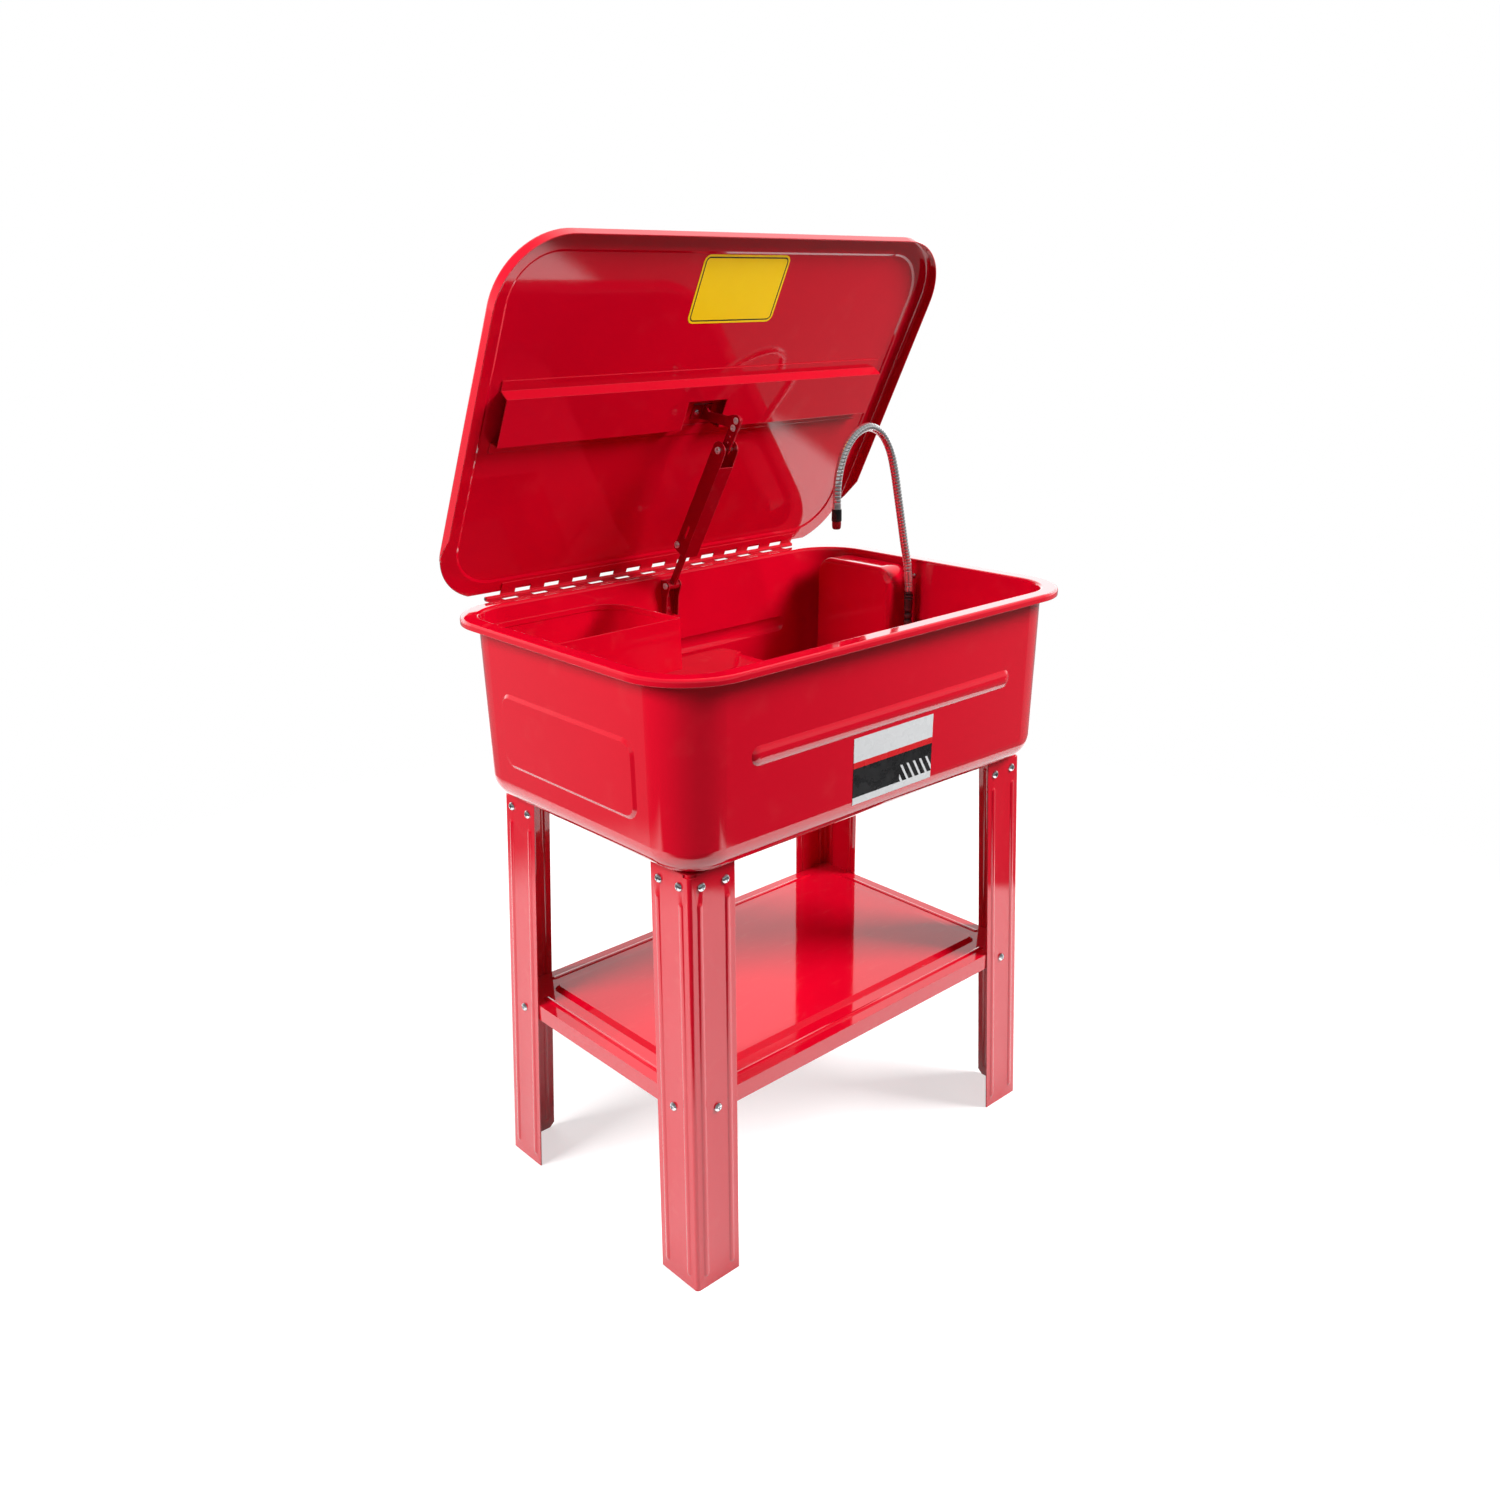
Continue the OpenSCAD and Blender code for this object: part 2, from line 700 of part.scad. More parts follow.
module leg(sx, sy) {
  color(red)
    intersection() {
      leg_frame(sx, sy)
        difference() {
          union() {
            translate([0, 0, -leg_len - 40])
              linear_extrude(leg_len + 80)
                angle_profile(leg_w, leg_t, leg_bend);
            on_flanges()
              for (x = [rib_near, rib_far])
                translate([x, -rib_top - rib_len / 2, 0])
                  rotate([0, 180, 90])
                    bead_out(rib_len, rib_w, rib_rise, leg_t / 2);
          }
          on_flanges() {
            for (x = [rib_near, rib_far])
              translate([x, -rib_top - rib_len / 2, 0])
                rotate([0, 180, 90])
                  bead_in(rib_len, rib_w, rib_rise, leg_t);
            for (x = [bolt_near, bolt_far])
              translate([x, -bolt_drop, -leg_t])
                cylinder(h = 4 * leg_t, d = bolt_d + 2 * hole_gap);
            translate([bolt_shelf, -shelf_bolt_v, -leg_t])
              cylinder(h = 4 * leg_t, d = bolt_d + 2 * hole_gap);
            translate([leg_w, -leg_len, -leg_t])
              rotate([0, 0, 45])
                cube([2 * foot_cut, sqrt(2) * foot_cut, 6 * leg_t], center = true);
          }
          // Relief at the top of the corner
          translate([leg_bend, leg_bend, 0])
            rotate([0, 0, 45])
              cube([5 * leg_bend, 3 * leg_bend, 7], center = true);
        }
      translate([-far, -far, 0])
        cube([2 * far, 2 * far, stand_h - leg_seat]);
    }
}

// Angle bracket inside the top of a leg, with a plate flat against the tub's floor
module tub_bracket(sx, sy) {
  brk_w = bolt_far + bolt_near / 2 - leg_t;
  plate = brk_w - leg_t;
  color(red)
    intersection() {
      union() {
        leg_frame(sx, sy)
          difference() {
            translate([leg_t, leg_t, -brk_h])
              linear_extrude(2 * brk_h)
                angle_profile(brk_w, leg_t, leg_bend);
            on_flanges()
              for (x = [bolt_near, bolt_far])
                translate([x, -bolt_drop, 0])
                  cylinder(h = 4 * leg_t, d = bolt_d + 2 * hole_gap);
          }
        mirror([sx > 0 ? 1 : 0, 0, 0])
          mirror([0, sy > 0 ? 1 : 0, 0])
            translate([-leg_x + 1.5 * leg_t, -leg_y + 1.5 * leg_t, stand_h - leg_t])
              linear_extrude(leg_t)
                polygon([
                  [leg_bend, 0], [plate, 0], [plate, plate / 3],
                  [plate / 3, plate], [0, plate], [0, leg_bend]
                ]);
      }
      translate([-far, -far, 0])
        cube([2 * far, 2 * far, stand_h]);
    }
}

module each_leg() {
  for (sx = [-1, 1], sy = [-1, 1])
    leg_frame(sx, sy)
      on_flanges()
        children();
}

module leg_bolts() {
  color(zinc)
    each_leg()
      for (x = [bolt_near, bolt_far])
        translate([x, -bolt_drop, 0])
          bolt(2 * leg_t + nut_h + 1.5);
}

module leg_nuts() {
  color(zinc)
    each_leg()
      for (x = [bolt_near, bolt_far])
        translate([x, -bolt_drop, 2 * leg_t])
          nut();
}

module shelf_bolts() {
  color(zinc)
    each_leg()
      translate([bolt_shelf, -shelf_bolt_v, 0])
        bolt(leg_t + shelf_t + nut_h + 2.5);
}

module shelf_nuts() {
  color(zinc)
    each_leg()
      translate([bolt_shelf, -shelf_bolt_v, leg_t + shelf_t + 1])
        nut();
}

// Lower shelf: ledge with beads, raised middle on a slope, flange turned down against the legs
module shelf() {
  px = shelf_hx - shelf_ledge;
  py = shelf_hy - shelf_ledge;
  pr = 14;
  cr = 8;
  bead_y = shelf_hy - shelf_ledge / 2 + 1;
  bead_x = shelf_hx - shelf_ledge / 2 + 1;
  bead_h = 1.8;
  color(red)
    translate([0, 0, shelf_z])
      difference() {
        union() {
          translate([0, 0, -shelf_t])
            linear_extrude(shelf_t)
              difference() {
                round_rect(shelf_hx, shelf_hy, cr);
                round_rect(px, py, pr);
              }
          translate([0, 0, -shelf_flange])
            linear_extrude(shelf_flange)
              difference() {
                round_rect(shelf_hx, shelf_hy, cr);
                round_rect(shelf_hx - shelf_t, shelf_hy - shelf_t, cr - shelf_t);
              }
          round_frame(px, py, pr)
            polygon([
              [pr, -shelf_t], [pr, 0], [pr - shelf_slope, shelf_rise],
              [0, shelf_rise], [0, shelf_rise - shelf_t],
              [pr - shelf_slope - shelf_t / 2, shelf_rise - shelf_t], [pr - shelf_t, -shelf_t]
            ]);
          translate([0, 0, shelf_rise - shelf_t / 2])
            cube([2 * near(px - pr), 2 * near(py - pr), shelf_t], center = true);
          for (s = [-1, 1]) {
            translate([0, s * bead_y, 0])
              bead_out(2 * px - 30, shelf_bead_w, bead_h, shelf_t / 2);
            translate([s * bead_x, 0, 0])
              rotate([0, 0, 90])
                bead_out(2 * py - 30, shelf_bead_w, bead_h, shelf_t / 2);
          }
        }
        for (s = [-1, 1]) {
          translate([0, s * bead_y, 0])
            bead_in(2 * px - 30, shelf_bead_w, bead_h, shelf_t);
          translate([s * bead_x, 0, 0])
            rotate([0, 0, 90])
              bead_in(2 * py - 30, shelf_bead_w, bead_h, shelf_t);
        }
        translate([0, 0, -shelf_z])
          each_leg()
            translate([bolt_shelf, -shelf_bolt_v, -leg_t])
              cylinder(h = 6 * leg_t, d = bolt_d + 2 * hole_gap);
      }
}

// Frame of the lid: drawn shut, hinge pin along X at the origin, lid towards -Y, then swung open
module lid_frame() {
  translate([0, hinge_y, hinge_z])
    rotate([-lid_open, 0, 0])
      children();
}

// Profile of the lid's sheet: raised middle, step, border, bend and lip
module lid_profile() {
  step_x = lid_r - lid_border;
  slope = 2 * lid_step;
  edge_x = lid_r - lid_bend;
  polygon([
    [0, lid_in], [step_x - slope, lid_in], [step_x, lid_n], [edge_x, lid_n],
    [edge_x, lid_top], [step_x, lid_top], [step_x - slope, lid_in + lid_t], [0, lid_in + lid_t]
  ]);
  bend([lid_r - lid_bend, lid_top - lid_bend], lid_bend, lid_t, 0, 90);
  translate([lid_r - lid_t, lid_top - lid_lip])
    square([lid_t, lid_lip - lid_bend]);
}

module lid() {
  color(red)
    lid_frame()
      difference() {
        translate([0, -(lid_smax + lid_rear) / 2, 0]) {
          round_frame(lid_hx, lid_hy, lid_r)
            lid_profile();
          translate([-near(lid_hx - lid_r), -near(lid_hy - lid_r), lid_in])
            cube([2 * near(lid_hx - lid_r), 2 * near(lid_hy - lid_r), lid_t]);
        }
        translate([-far, -lid_back, -far])
          cube([2 * far, far, 2 * far]);
        // The side lips run out on a slope before the rear corners
        translate([-far, 0, 0])
          rotate([90, 0, 90])
            linear_extrude(2 * far)
              polygon([
                [-lip_end - lip_run, lid_top - lid_lip - 0.1], [-lip_end, lid_n],
                [far, lid_n], [far, -far], [-lip_end - lip_run, -far]
              ]);
        at_lid_bolts()
          cylinder(h = 6 * lid_t, d = screw_d + 2 * hole_gap, center = true);
      }
}

// Hat-section channel across the lid, notched for the stay's bracket
module lid_channel() {
  t = lid_t;
  w = hat_w / 2;
  b = w + hat_lean;
  f = b + hat_flange;
  color(red)
    lid_frame()
      translate([0, -hat_s, lid_in])
        rotate([90, 0, 90])
          difference() {
            translate([0, 0, -hat_len / 2])
              linear_extrude(hat_len)
                polygon([
                  [-f, 0], [-b + t, 0], [-w + t, -hat_h + t], [w - t, -hat_h + t], [b - t, 0],
                  [f, 0], [f, -t], [b, -t], [w, -hat_h], [-w, -hat_h], [-b, -t], [-f, -t]
                ]);
            translate([w - notch_h, -2 * hat_h, stay_x - notch_w / 2 - 8])
              cube([far, 2 * hat_h - t, notch_w]);
          }
}

module knuckles(odd) {
  for (k = [0 : hinge_n - 1])
    translate([-hinge_len / 2 + (2 * k + odd) * knuckle + hinge_gap / 2, 0, 0])
      rotate([0, 90, 0])
        difference() {
          cylinder(h = knuckle - hinge_gap, d = hinge_d);
          translate([0, 0, -1])
            cylinder(h = knuckle + 2, d = hinge_pin_d + 2 * hinge_run);
        }
}

// A leaf: a plate level with the outside of its own knuckles, notched around those of the other leaf
module leaf(odd, z0) {
  start = -hinge_len / 2 + odd * knuckle + hinge_gap / 2;
  knuckles(odd);
  translate([start, -hinge_w, z0])
    cube([(2 * hinge_n - 1) * knuckle - hinge_gap, hinge_w - hinge_notch, hinge_t]);
  for (k = [0 : hinge_n - 1])
    translate([start + 2 * k * knuckle, -hinge_notch - 1, z0])
      cube([knuckle - hinge_gap, hinge_notch + 1, hinge_t]);
}

module hinge_tank_leaf() {
  color(red)
    translate([0, hinge_y, hinge_z])
      leaf(0, -hinge_up);
}

module hinge_lid_leaf() {
  color(red)
    lid_frame()
      leaf(1, lid_n - hinge_t);
}

module hinge_pin() {
  color(steel)
    translate([-hinge_len / 2 - 1, hinge_y, hinge_z])
      rotate([0, 90, 0])
        cylinder(h = hinge_len + 2, d = hinge_pin_d);
}

// Frame at the stay's upper pivot on the lid, drawn shut: Y towards the hinge, Z up
module at_stay_top() {
  translate([stay_x, -stay_top_s, -stay_top_n])
    children();
}

// Frame of the fusible link: X along the link away from the pivot, Y across it, Z along the pin
module link_frame() {
  lid_frame()
    at_stay_top()
      rotate([link_a + 180, 0, 0])
        rotate([90, 0, 90])
          children();
}

module fusible_link() {
  color(red)
    link_frame()
      difference() {
        translate([0, 0, -link_t / 2])
          linear_extrude(link_t)
            difference() {
              union() {
                translate([0, -link_w / 2])
                  square([link_len + rivet_step, link_w]);
                circle(d = link_w);
                translate([link_len + rivet_step, 0])
                  circle(d = link_w);
              }
              circle(d = stay_pin_d + 2 * stay_run);
              for (k = [0, 1])
                translate([link_len + k * rivet_step, 0])
                  circle(d = screw_d + 2 * hole_gap);
              for (k = [0.35, 0.62])
                translate([link_len * k, 0])
                  circle(d = 3);
            }
      }
}

module link_rivets() {
  color(zinc)
    link_frame()
      for (k = [0, 1])
        translate([link_len + k * rivet_step, 0, -link_t / 2])
          difference() {
            bolt(link_t + 2 * arm_t, screw_d, screw_head_d, rivet_head_h);
            translate([0, 0, -3])
              cylinder(h = 2.6, d = screw_d / 2);
          }
}

module at_lid_bolts() {
  for (s = [-1, 1])
    translate([stay_x + s * bolt_step / 2, bracket_y, lid_in])
      children();
}

// Bracket on the lid: a foot bolted to the sheet and an ear that carries the link
module lid_bracket() {
  t = 2 * arm_t;
  ear_w = link_w + 4;
  tip = link_point(link_len + rivet_step);
  low = link_point(link_len);
  color(red)
    difference() {
      union() {
        lid_frame() {
          translate([stay_x - bolt_step / 2 - 7, bracket_y - bracket_foot / 2, lid_in - arm_t])
            cube([bolt_step + 14, bracket_foot, arm_t]);
          translate([stay_x + link_t / 2, 0, 0])
            rotate([90, 0, 90])
              linear_extrude(t)
                polygon([
                  [bracket_y - bracket_foot / 2, lid_in - arm_t / 2],
                  [bracket_y + bracket_foot / 2, lid_in - arm_t / 2],
                  [low[0] + ear_w / 2, low[1] + 4],
                  [low[0] + ear_w / 2, low[1] - ear_w / 3],
                  [tip[0] - ear_w / 3, tip[1] - ear_w / 2],
                  [tip[0] - ear_w / 2, tip[1] + ear_w / 3]
                ]);
        }
      }
      link_frame()
        for (k = [0, 1])
          translate([link_len + k * rivet_step, 0, 0])
            cylinder(h = 4 * t, d = screw_d + 2 * hole_gap);
      lid_frame()
        at_lid_bolts()
          cylinder(h = 6 * arm_t, d = screw_d + 2 * hole_gap, center = true);
    }
}

module lid_bracket_bolts() {
  color(zinc)
    lid_frame()
      at_lid_bolts()
        translate([0, 0, -arm_t])
          bolt(arm_t + lid_t + 0.8, screw_d, screw_head_d, screw_head_h);
}

module stay_top_pin() {
  color(zinc)
    lid_frame()
      at_stay_top()
        translate([-arm_w / 2 - 0.4, 0, 0])
          rotate([0, 90, 0])
            bolt(arm_w + 4, stay_pin_d, 1.7 * stay_pin_d, 3);
}

// Frame of the open stay: Y from the upper to the lower pivot, Z towards the rear
module arm_frame() {
  translate([stay_x, pu_y, pu_z])
    rotate([arm_a, 0, 0])
      children();
}

// Channel of the stay: web in front, two cheeks, slotted, open towards the rear
module stay_channel() {
  web_cut = link_w * 0.8 + 8;
  cheek_top = 12;
  color(red)
    arm_frame()
      difference() {
        union() {
          for (s = [-1, 1])
            translate([s * (arm_w - arm_t) / 2, 0, 0])
              rotate([90, 0, 90])
                translate([0, 0, -arm_t / 2])
                  linear_extrude(arm_t)
                    difference() {
                      union() {
                        circle(r = cheek_top);
                        polygon([
                          [0, -cheek_top], [web_cut, web_z - arm_t],
                          [arm_len, web_z - arm_t], [arm_len, arm_top], [0, cheek_top]
                        ]);
                      }
                      circle(d = stay_pin_d + 2 * stay_run);
                      translate([guide_y, guide_z])
                        circle(r = guide_r + hole_gap);
                      translate([arm_len - 36, 0])
                        square([16, 5], center = true);
                      for (e = [-8, 8])
                        translate([arm_len - 36 + e, 0])
                          circle(d = 5);
                    }
          translate([-arm_w / 2, web_cut, web_z - arm_t])
            cube([arm_w, arm_len - web_cut, arm_t]);
        }
      }
}

module stay_guide_bolt() {
  color(zinc)
    arm_frame()
      translate([-arm_w / 2, guide_y, guide_z])
        rotate([0, 90, 0])
          bolt(arm_w + 2, 2 * guide_r, 4 * guide_r, 2.4);
}

// Sliding bar of the stay, with a hub that fills its bracket on the tub
module stay_bar() {
  hub_r = pin_r + 3.2;
  hub_w = foot_w - 2 * bar_gap;
  color(red)
    translate([stay_x, pl_y, pl_z])
      rotate([arm_a, 0, 0])
        rotate([90, 0, 90])
          difference() {
            union() {
              translate([-bar_len, -bar_w / 2, -bar_t / 2])
                cube([bar_len, bar_w, bar_t]);
              translate([-bar_len, 0, -bar_t / 2])
                cylinder(h = bar_t, d = bar_w);
              translate([0, 0, -hub_w / 2])
                cylinder(h = hub_w, r = hub_r);
            }
            translate([0, 0, -hub_w])
              cylinder(h = 2 * hub_w, d = stay_pin_d + 2 * stay_run);
          }
}

// Bracket of the stay on the rear wall: an upright channel whose two ears carry the bar's pin
module stay_foot_bracket() {
  color(red)
    difference() {
      on_rear()
        translate([-tank_t, -stay_x, pin_v])
          difference() {
            union() {
              translate([-arm_t, -foot_w / 2 - arm_t, -foot_len])
                cube([arm_t, foot_w + 2 * arm_t, foot_len + ear_r]);
              for (s = [-1, 1])
                translate([0, s * (foot_w + arm_t) / 2, 0])
                  rotate([90, 0, 0])
                    translate([0, 0, -arm_t / 2])
                      linear_extrude(arm_t) {
                        translate([-stay_pin_in, 0])
                          circle(r = ear_r);
                        polygon([
                          [-stay_pin_in, ear_r], [-arm_t / 2, ear_r],
                          [-arm_t / 2, -foot_len], [-0.8 * stay_pin_in, -foot_len],
                          [-stay_pin_in - 0.2 * ear_r, -2 * ear_r], [-stay_pin_in - 0.87 * ear_r, -0.5 * ear_r]
                        ]);
                      }
            }
            translate([-stay_pin_in, 0, 0])
              rotate([90, 0, 0])
                cylinder(h = 2 * foot_w, d = stay_pin_d + 0.1, center = true);
          }
      at_foot_rivets()
        cylinder(h = 8 * tank_t, d = screw_d + 2 * hole_gap, center = true);
    }
}

module stay_foot_rivets() {
  color(zinc)
    at_foot_rivets()
      wall_rivet(tank_t + arm_t);
}

// Rivet through a wall and what lies inside it, domed on both sides
module wall_rivet(grip) {
  bolt(grip, screw_d, screw_head_d, rivet_head_h);
  translate([0, 0, grip])
    rotate([180, 0, 0])
      bolt(grip / 2, screw_d, screw_head_d, rivet_head_h);
}

module stay_foot_pin() {
  color(zinc)
    on_rear()
      translate([pin_x, -stay_x + foot_w / 2 + arm_t, pin_v])
        rotate([90, 0, 0])
          bolt(foot_w + 2 * arm_t + 2, stay_pin_d, 1.6 * stay_pin_d, 2.6);
}

// Plan of the tray, shrunk by a wall: rear corners round, front corners bent tight
module tray_plan(ins) {
  rl = tank_r - 4;
  rr = tray_r;
  rf = 5;
  x0 = -tray_d + ins;
  x1 = -ins;
  y0 = tray_y0 + ins;
  y1 = tray_y0 + tray_len - ins;
  difference() {
    translate([x0, y0])
      square([x1 - x0, y1 - y0]);
    translate([x1 - rl + ins, y1 - rl + ins])
      square(rl);
    translate([x1 - rr + ins, y0 - ins])
      square(rr);
    for (y = [y0 - ins, y1 - rf + ins])
      translate([x0 - ins, y])
        square(rf);
  }
  translate([x1 - rl + ins, y1 - rl + ins])
    circle(rl - ins);
  translate([x1 - rr + ins, y0 + rr - ins])
    circle(rr - ins);
  for (y = [y0 + rf - ins, y1 - rf + ins])
    translate([x0 + rf - ins, y])
      circle(rf - ins);
}

// Tray for small parts, hemmed at the top and welded to the rear wall
module parts_tray() {
  hem = 7;
  color(red)
    on_rear()
      translate([-tank_t, 0, tray_top - tray_h]) {
        linear_extrude(tray_t)
          tray_plan(0);
        linear_extrude(tray_h)
          difference() {
            tray_plan(0);
            tray_plan(tray_t);
          }
        translate([0, 0, tray_h - hem])
          linear_extrude(hem)
            difference() {
              tray_plan(0);
              tray_plan(2 * tray_t);
            }
      }
}

// Work shelf: a bent sheet that stands on the tub's floor on its two turned-down ends
module work_shelf() {
  hx = bench_len / 2;
  hy = bench_d / 2;
  leg_hy = hy - bench_r - bench_bend;
  edge_hx = hx - bench_r;
  color(red)
    translate([bench_x1 + hx, 0, bench_z]) {
      translate([0, 0, -bench_t])
        linear_extrude(bench_t)
          difference() {
            round_rect(hx, hy, bench_r);
            for (s = [-1, 1])
              translate([s * (hx - bench_bend / 2), 0])
                square([bench_bend + eps, 2 * leg_hy], center = true);
          }
      for (m = [0, 1])
        mirror([m, 0, 0]) {
          translate([hx - bench_bend, leg_hy, 0])
            rotate([90, 0, 0])
              linear_extrude(2 * leg_hy) {
                bend([0, -bench_bend], bench_bend, bench_t, 0, 90);
                translate([bench_bend - bench_t, -bench_h])
                  square([bench_t, bench_h - bench_bend]);
              }
          mirror([0, m, 0])
            translate([-edge_hx, hy - bench_t, -bench_edge])
              cube([2 * edge_hx, bench_t, bench_edge]);
        }
    }
}

// Space inside the tub's walls, for the pieces that butt against them
module tub_inside(gap) {
  translate([0, 0, stand_h + floor_r]) {
    round_frame(cx + tank_r, cy + tank_r, tank_r)
      translate([flat_r, 0])
        rotate(-lean)
          translate([-flat_r / 2, -floor_r / 4])
            square([flat_r / 2 + floor_r - tank_t - gap, tank_h]);
    translate([-cx, -cy, 0])
      cube([2 * cx, 2 * cy, tank_h]);
    round_frame(cx + flat_r, cy + flat_r, flat_r)
      square([flat_r, tank_h - floor_r]);
  }
}

// Pump cover: a box with rounded edges against the right wall, open below, flanged at its front
module pump_cover() {
  hv = cover_top;
  side = cover_d + 12;
  mid_y = cover_y + cover_w / 2;
  color(red)
    difference() {
      union() {
        intersection() {
          on_right()
            translate([-tank_t - cover_d + side, mid_y, cover_top - hv])
              rotate([0, -90, 0]) {
                round_frame(hv, cover_w / 2, cover_r) {
                  translate([0, side - cover_t])
                    square([cover_r - cover_bend, cover_t]);
                  bend([cover_r - cover_bend, side - cover_bend], cover_bend, cover_t, 0, 90);
                  translate([cover_r - cover_t, 0])
                    square([cover_t, side - cover_bend]);
                }
                translate([-near(hv - cover_r), -cover_w / 2 + cover_r, side - cover_t])
                  cube([2 * near(hv - cover_r), cover_w - 2 * cover_r, cover_t]);
              }
          tub_inside(0.3);
          on_right()
            translate([-far, -far, cover_foot])
              cube([2 * far, 2 * far, far]);
        }
        on_right()
          translate([-tank_t - 0.3 - cover_t, cover_y - cover_flange, cover_foot])
            cube([cover_t, cover_flange + cover_t, cover_top - cover_r - cover_foot]);
      }
      translate([spout_x, cover_y, outlet_z - 30])
        translate([-outlet_d / 2 - 3, -cover_flange, 0])
          cube([outlet_d + 6, 2 * cover_flange, 30 + outlet_d / 2 + 3]);
      at_cover_screws()
        cylinder(h = 8 * tank_t, d = screw_d + 2 * hole_gap, center = true);
    }
}

module cover_screws() {
  color(zinc)
    at_cover_screws()
      wall_rivet(tank_t + 0.3 + cover_t);
}

// Submersible pump: motor housing over a round pump chamber with a side outlet
module pump_body() {
  color(black)
    union() {
      translate([pump_x, pump_y, motor_z]) {
        cylinder(h = pump_h - 6, d = pump_d);
        translate([0, 0, pump_h - 6])
          cylinder(h = 6, d1 = pump_d, d2 = pump_d - 10);
      }
      translate([pump_x, pump_y, motor_z - volute_h])
        cylinder(h = volute_h, d = volute_d);
      translate([spout_x, pump_y, outlet_z])
        rotate([90, 0, 0])
          cylinder(h = pump_y - spout_y - elbow_r - 10, d = outlet_d);
    }
}

module pump_strainer() {
  slots = 12;
  color(black)
    translate([pump_x, pump_y, stand_h + pump_z])
      difference() {
        cylinder(h = strainer_h, d = strainer_d);
        translate([0, 0, 2])
          cylinder(h = strainer_h - 4, d = strainer_d - 4);
        for (k = [0 : slots - 1])
          rotate([0, 0, k * 360 / slots])
            translate([strainer_d / 2 - 3, -1.2, 3])
              cube([6, 2.4, strainer_h - 6]);
      }
}

// Strap that hangs the pump on the right wall
module pump_strap() {
  strap_w = 22;
  ring_t = 1.5;
  ring_h = 16;
  ring_z = motor_z + pump_h - 6 - ring_h - 4;
  color(zinc)
    difference() {
      union() {
        translate([pump_x, pump_y, ring_z])
          difference() {
            cylinder(h = ring_h, d = pump_d + 2 * ring_t);
            translate([0, 0, -1])
              cylinder(h = ring_h + 2, d = pump_d);
          }
        intersection() {
          on_right()
            translate([-tank_t - strap_t, pump_y - strap_w / 2, 0])
              cube([strap_t, strap_w, strap_v + 22]);
          translate([-far, -far, ring_z])
            cube([2 * far, 2 * far, far]);
        }
        intersection() {
          difference() {
            translate([pump_x, pump_y - strap_w / 2, ring_z])
              cube([pump_d, strap_w, ring_h]);
            translate([pump_x, pump_y, ring_z - 1])
              cylinder(h = ring_h + 2, d = pump_d);
          }
          on_right()
            translate([-tank_t - far, -far, -far])
              cube([far, 2 * far, 2 * far]);
        }
      }
      at_strap_screws()
        cylinder(h = 8 * tank_t, d = screw_d + 2 * hole_gap, center = true);
    }
}

module strap_screws() {
  color(zinc)
    at_strap_screws()
      wall_rivet(tank_t + strap_t);
}

// Elbow from the pump's outlet up into the hose
module pump_elbow() {
  wall = 2;
  bore = 3.2;
  barb_h = 14;
  r = outlet_d / 2 + wall;
  color(black)
    translate([spout_x, spout_y, outlet_z]) {
      difference() {
        union() {
          translate([0, elbow_r, elbow_r])
            rotate([90, 0, 90])
              rotate([0, 0, 180])
                rotate_extrude(angle = 90)
                  translate([elbow_r, 0])
                    circle(outlet_d / 2);
          translate([0, elbow_r, 0])
            rotate([-90, 0, 0])
              cylinder(h = 10, d = outlet_d);
          translate([0, 0, elbow_r])
            cylinder(h = 8, r = r);
          translate([0, 0, elbow_r])
            cylinder(h = 8 + barb_h, d = 0.9 * hose_bore);
        }
        translate([0, elbow_r, elbow_r])
          rotate([90, 0, 90])
            rotate([0, 0, 180])
              rotate_extrude(angle = 90)
                translate([elbow_r, 0])
                  circle(bore);
        translate([0, elbow_r - eps, 0])
          rotate([-90, 0, 0])
            cylinder(h = 40, r = bore);
        translate([0, 0, elbow_r - eps])
          cylinder(h = 40, r = bore);
      }
    }
}

// Rings along a route in the X-Z plane: points, and the triangles of a tube with a bore
function lerp(a, b, t) = a + (b - a) * t;
function spline(p, t) =
  let (n = len(p) - 1, i = min(floor(t), n - 1), u = t - i)
  let (a = p[max(i - 1, 0)], b = p[i], c = p[i + 1], d = p[min(i + 2, n)])
  0.5 * (2 * b + (c - a) * u + (2 * a - 5 * b + 4 * c - d) * u * u + (3 * b - a - 3 * c + d) * u * u * u);
function run_table(p, k, i = 0, s = 0) =
  i > k * (len(p) - 1) ? [] : let (d = i == 0 ? 0 : norm(spline(p, i / k) - spline(p, (i - 1) / k)))
    concat([[s + d, i / k]], run_table(p, k, i + 1, s + d));
function tangent(p, t) =
  let (e = 0.02, n = len(p) - 1, v = spline(p, min(t + e, n)) - spline(p, max(t - e, 0)))
  v / norm(v);
function ring(c, tg, r, sides) = [
  for (j = [0 : sides - 1])
    let (a = 360 * j / sides)
    [c[0] + r * cos(a) * tg[1], r * sin(a), c[1] - r * cos(a) * tg[0]]
];
function skin(n, m, base, flip) = [
  for (i = [0 : n - 2], j = [0 : m - 1], h = [0, 1])
    let (a = base + i * m + j, b = base + i * m + (j + 1) % m, c = a + m, d = b + m)
    let (f = h == 0 ? [a, b, d] : [a, d, c])
    flip ? [f[2], f[1], f[0]] : f
];

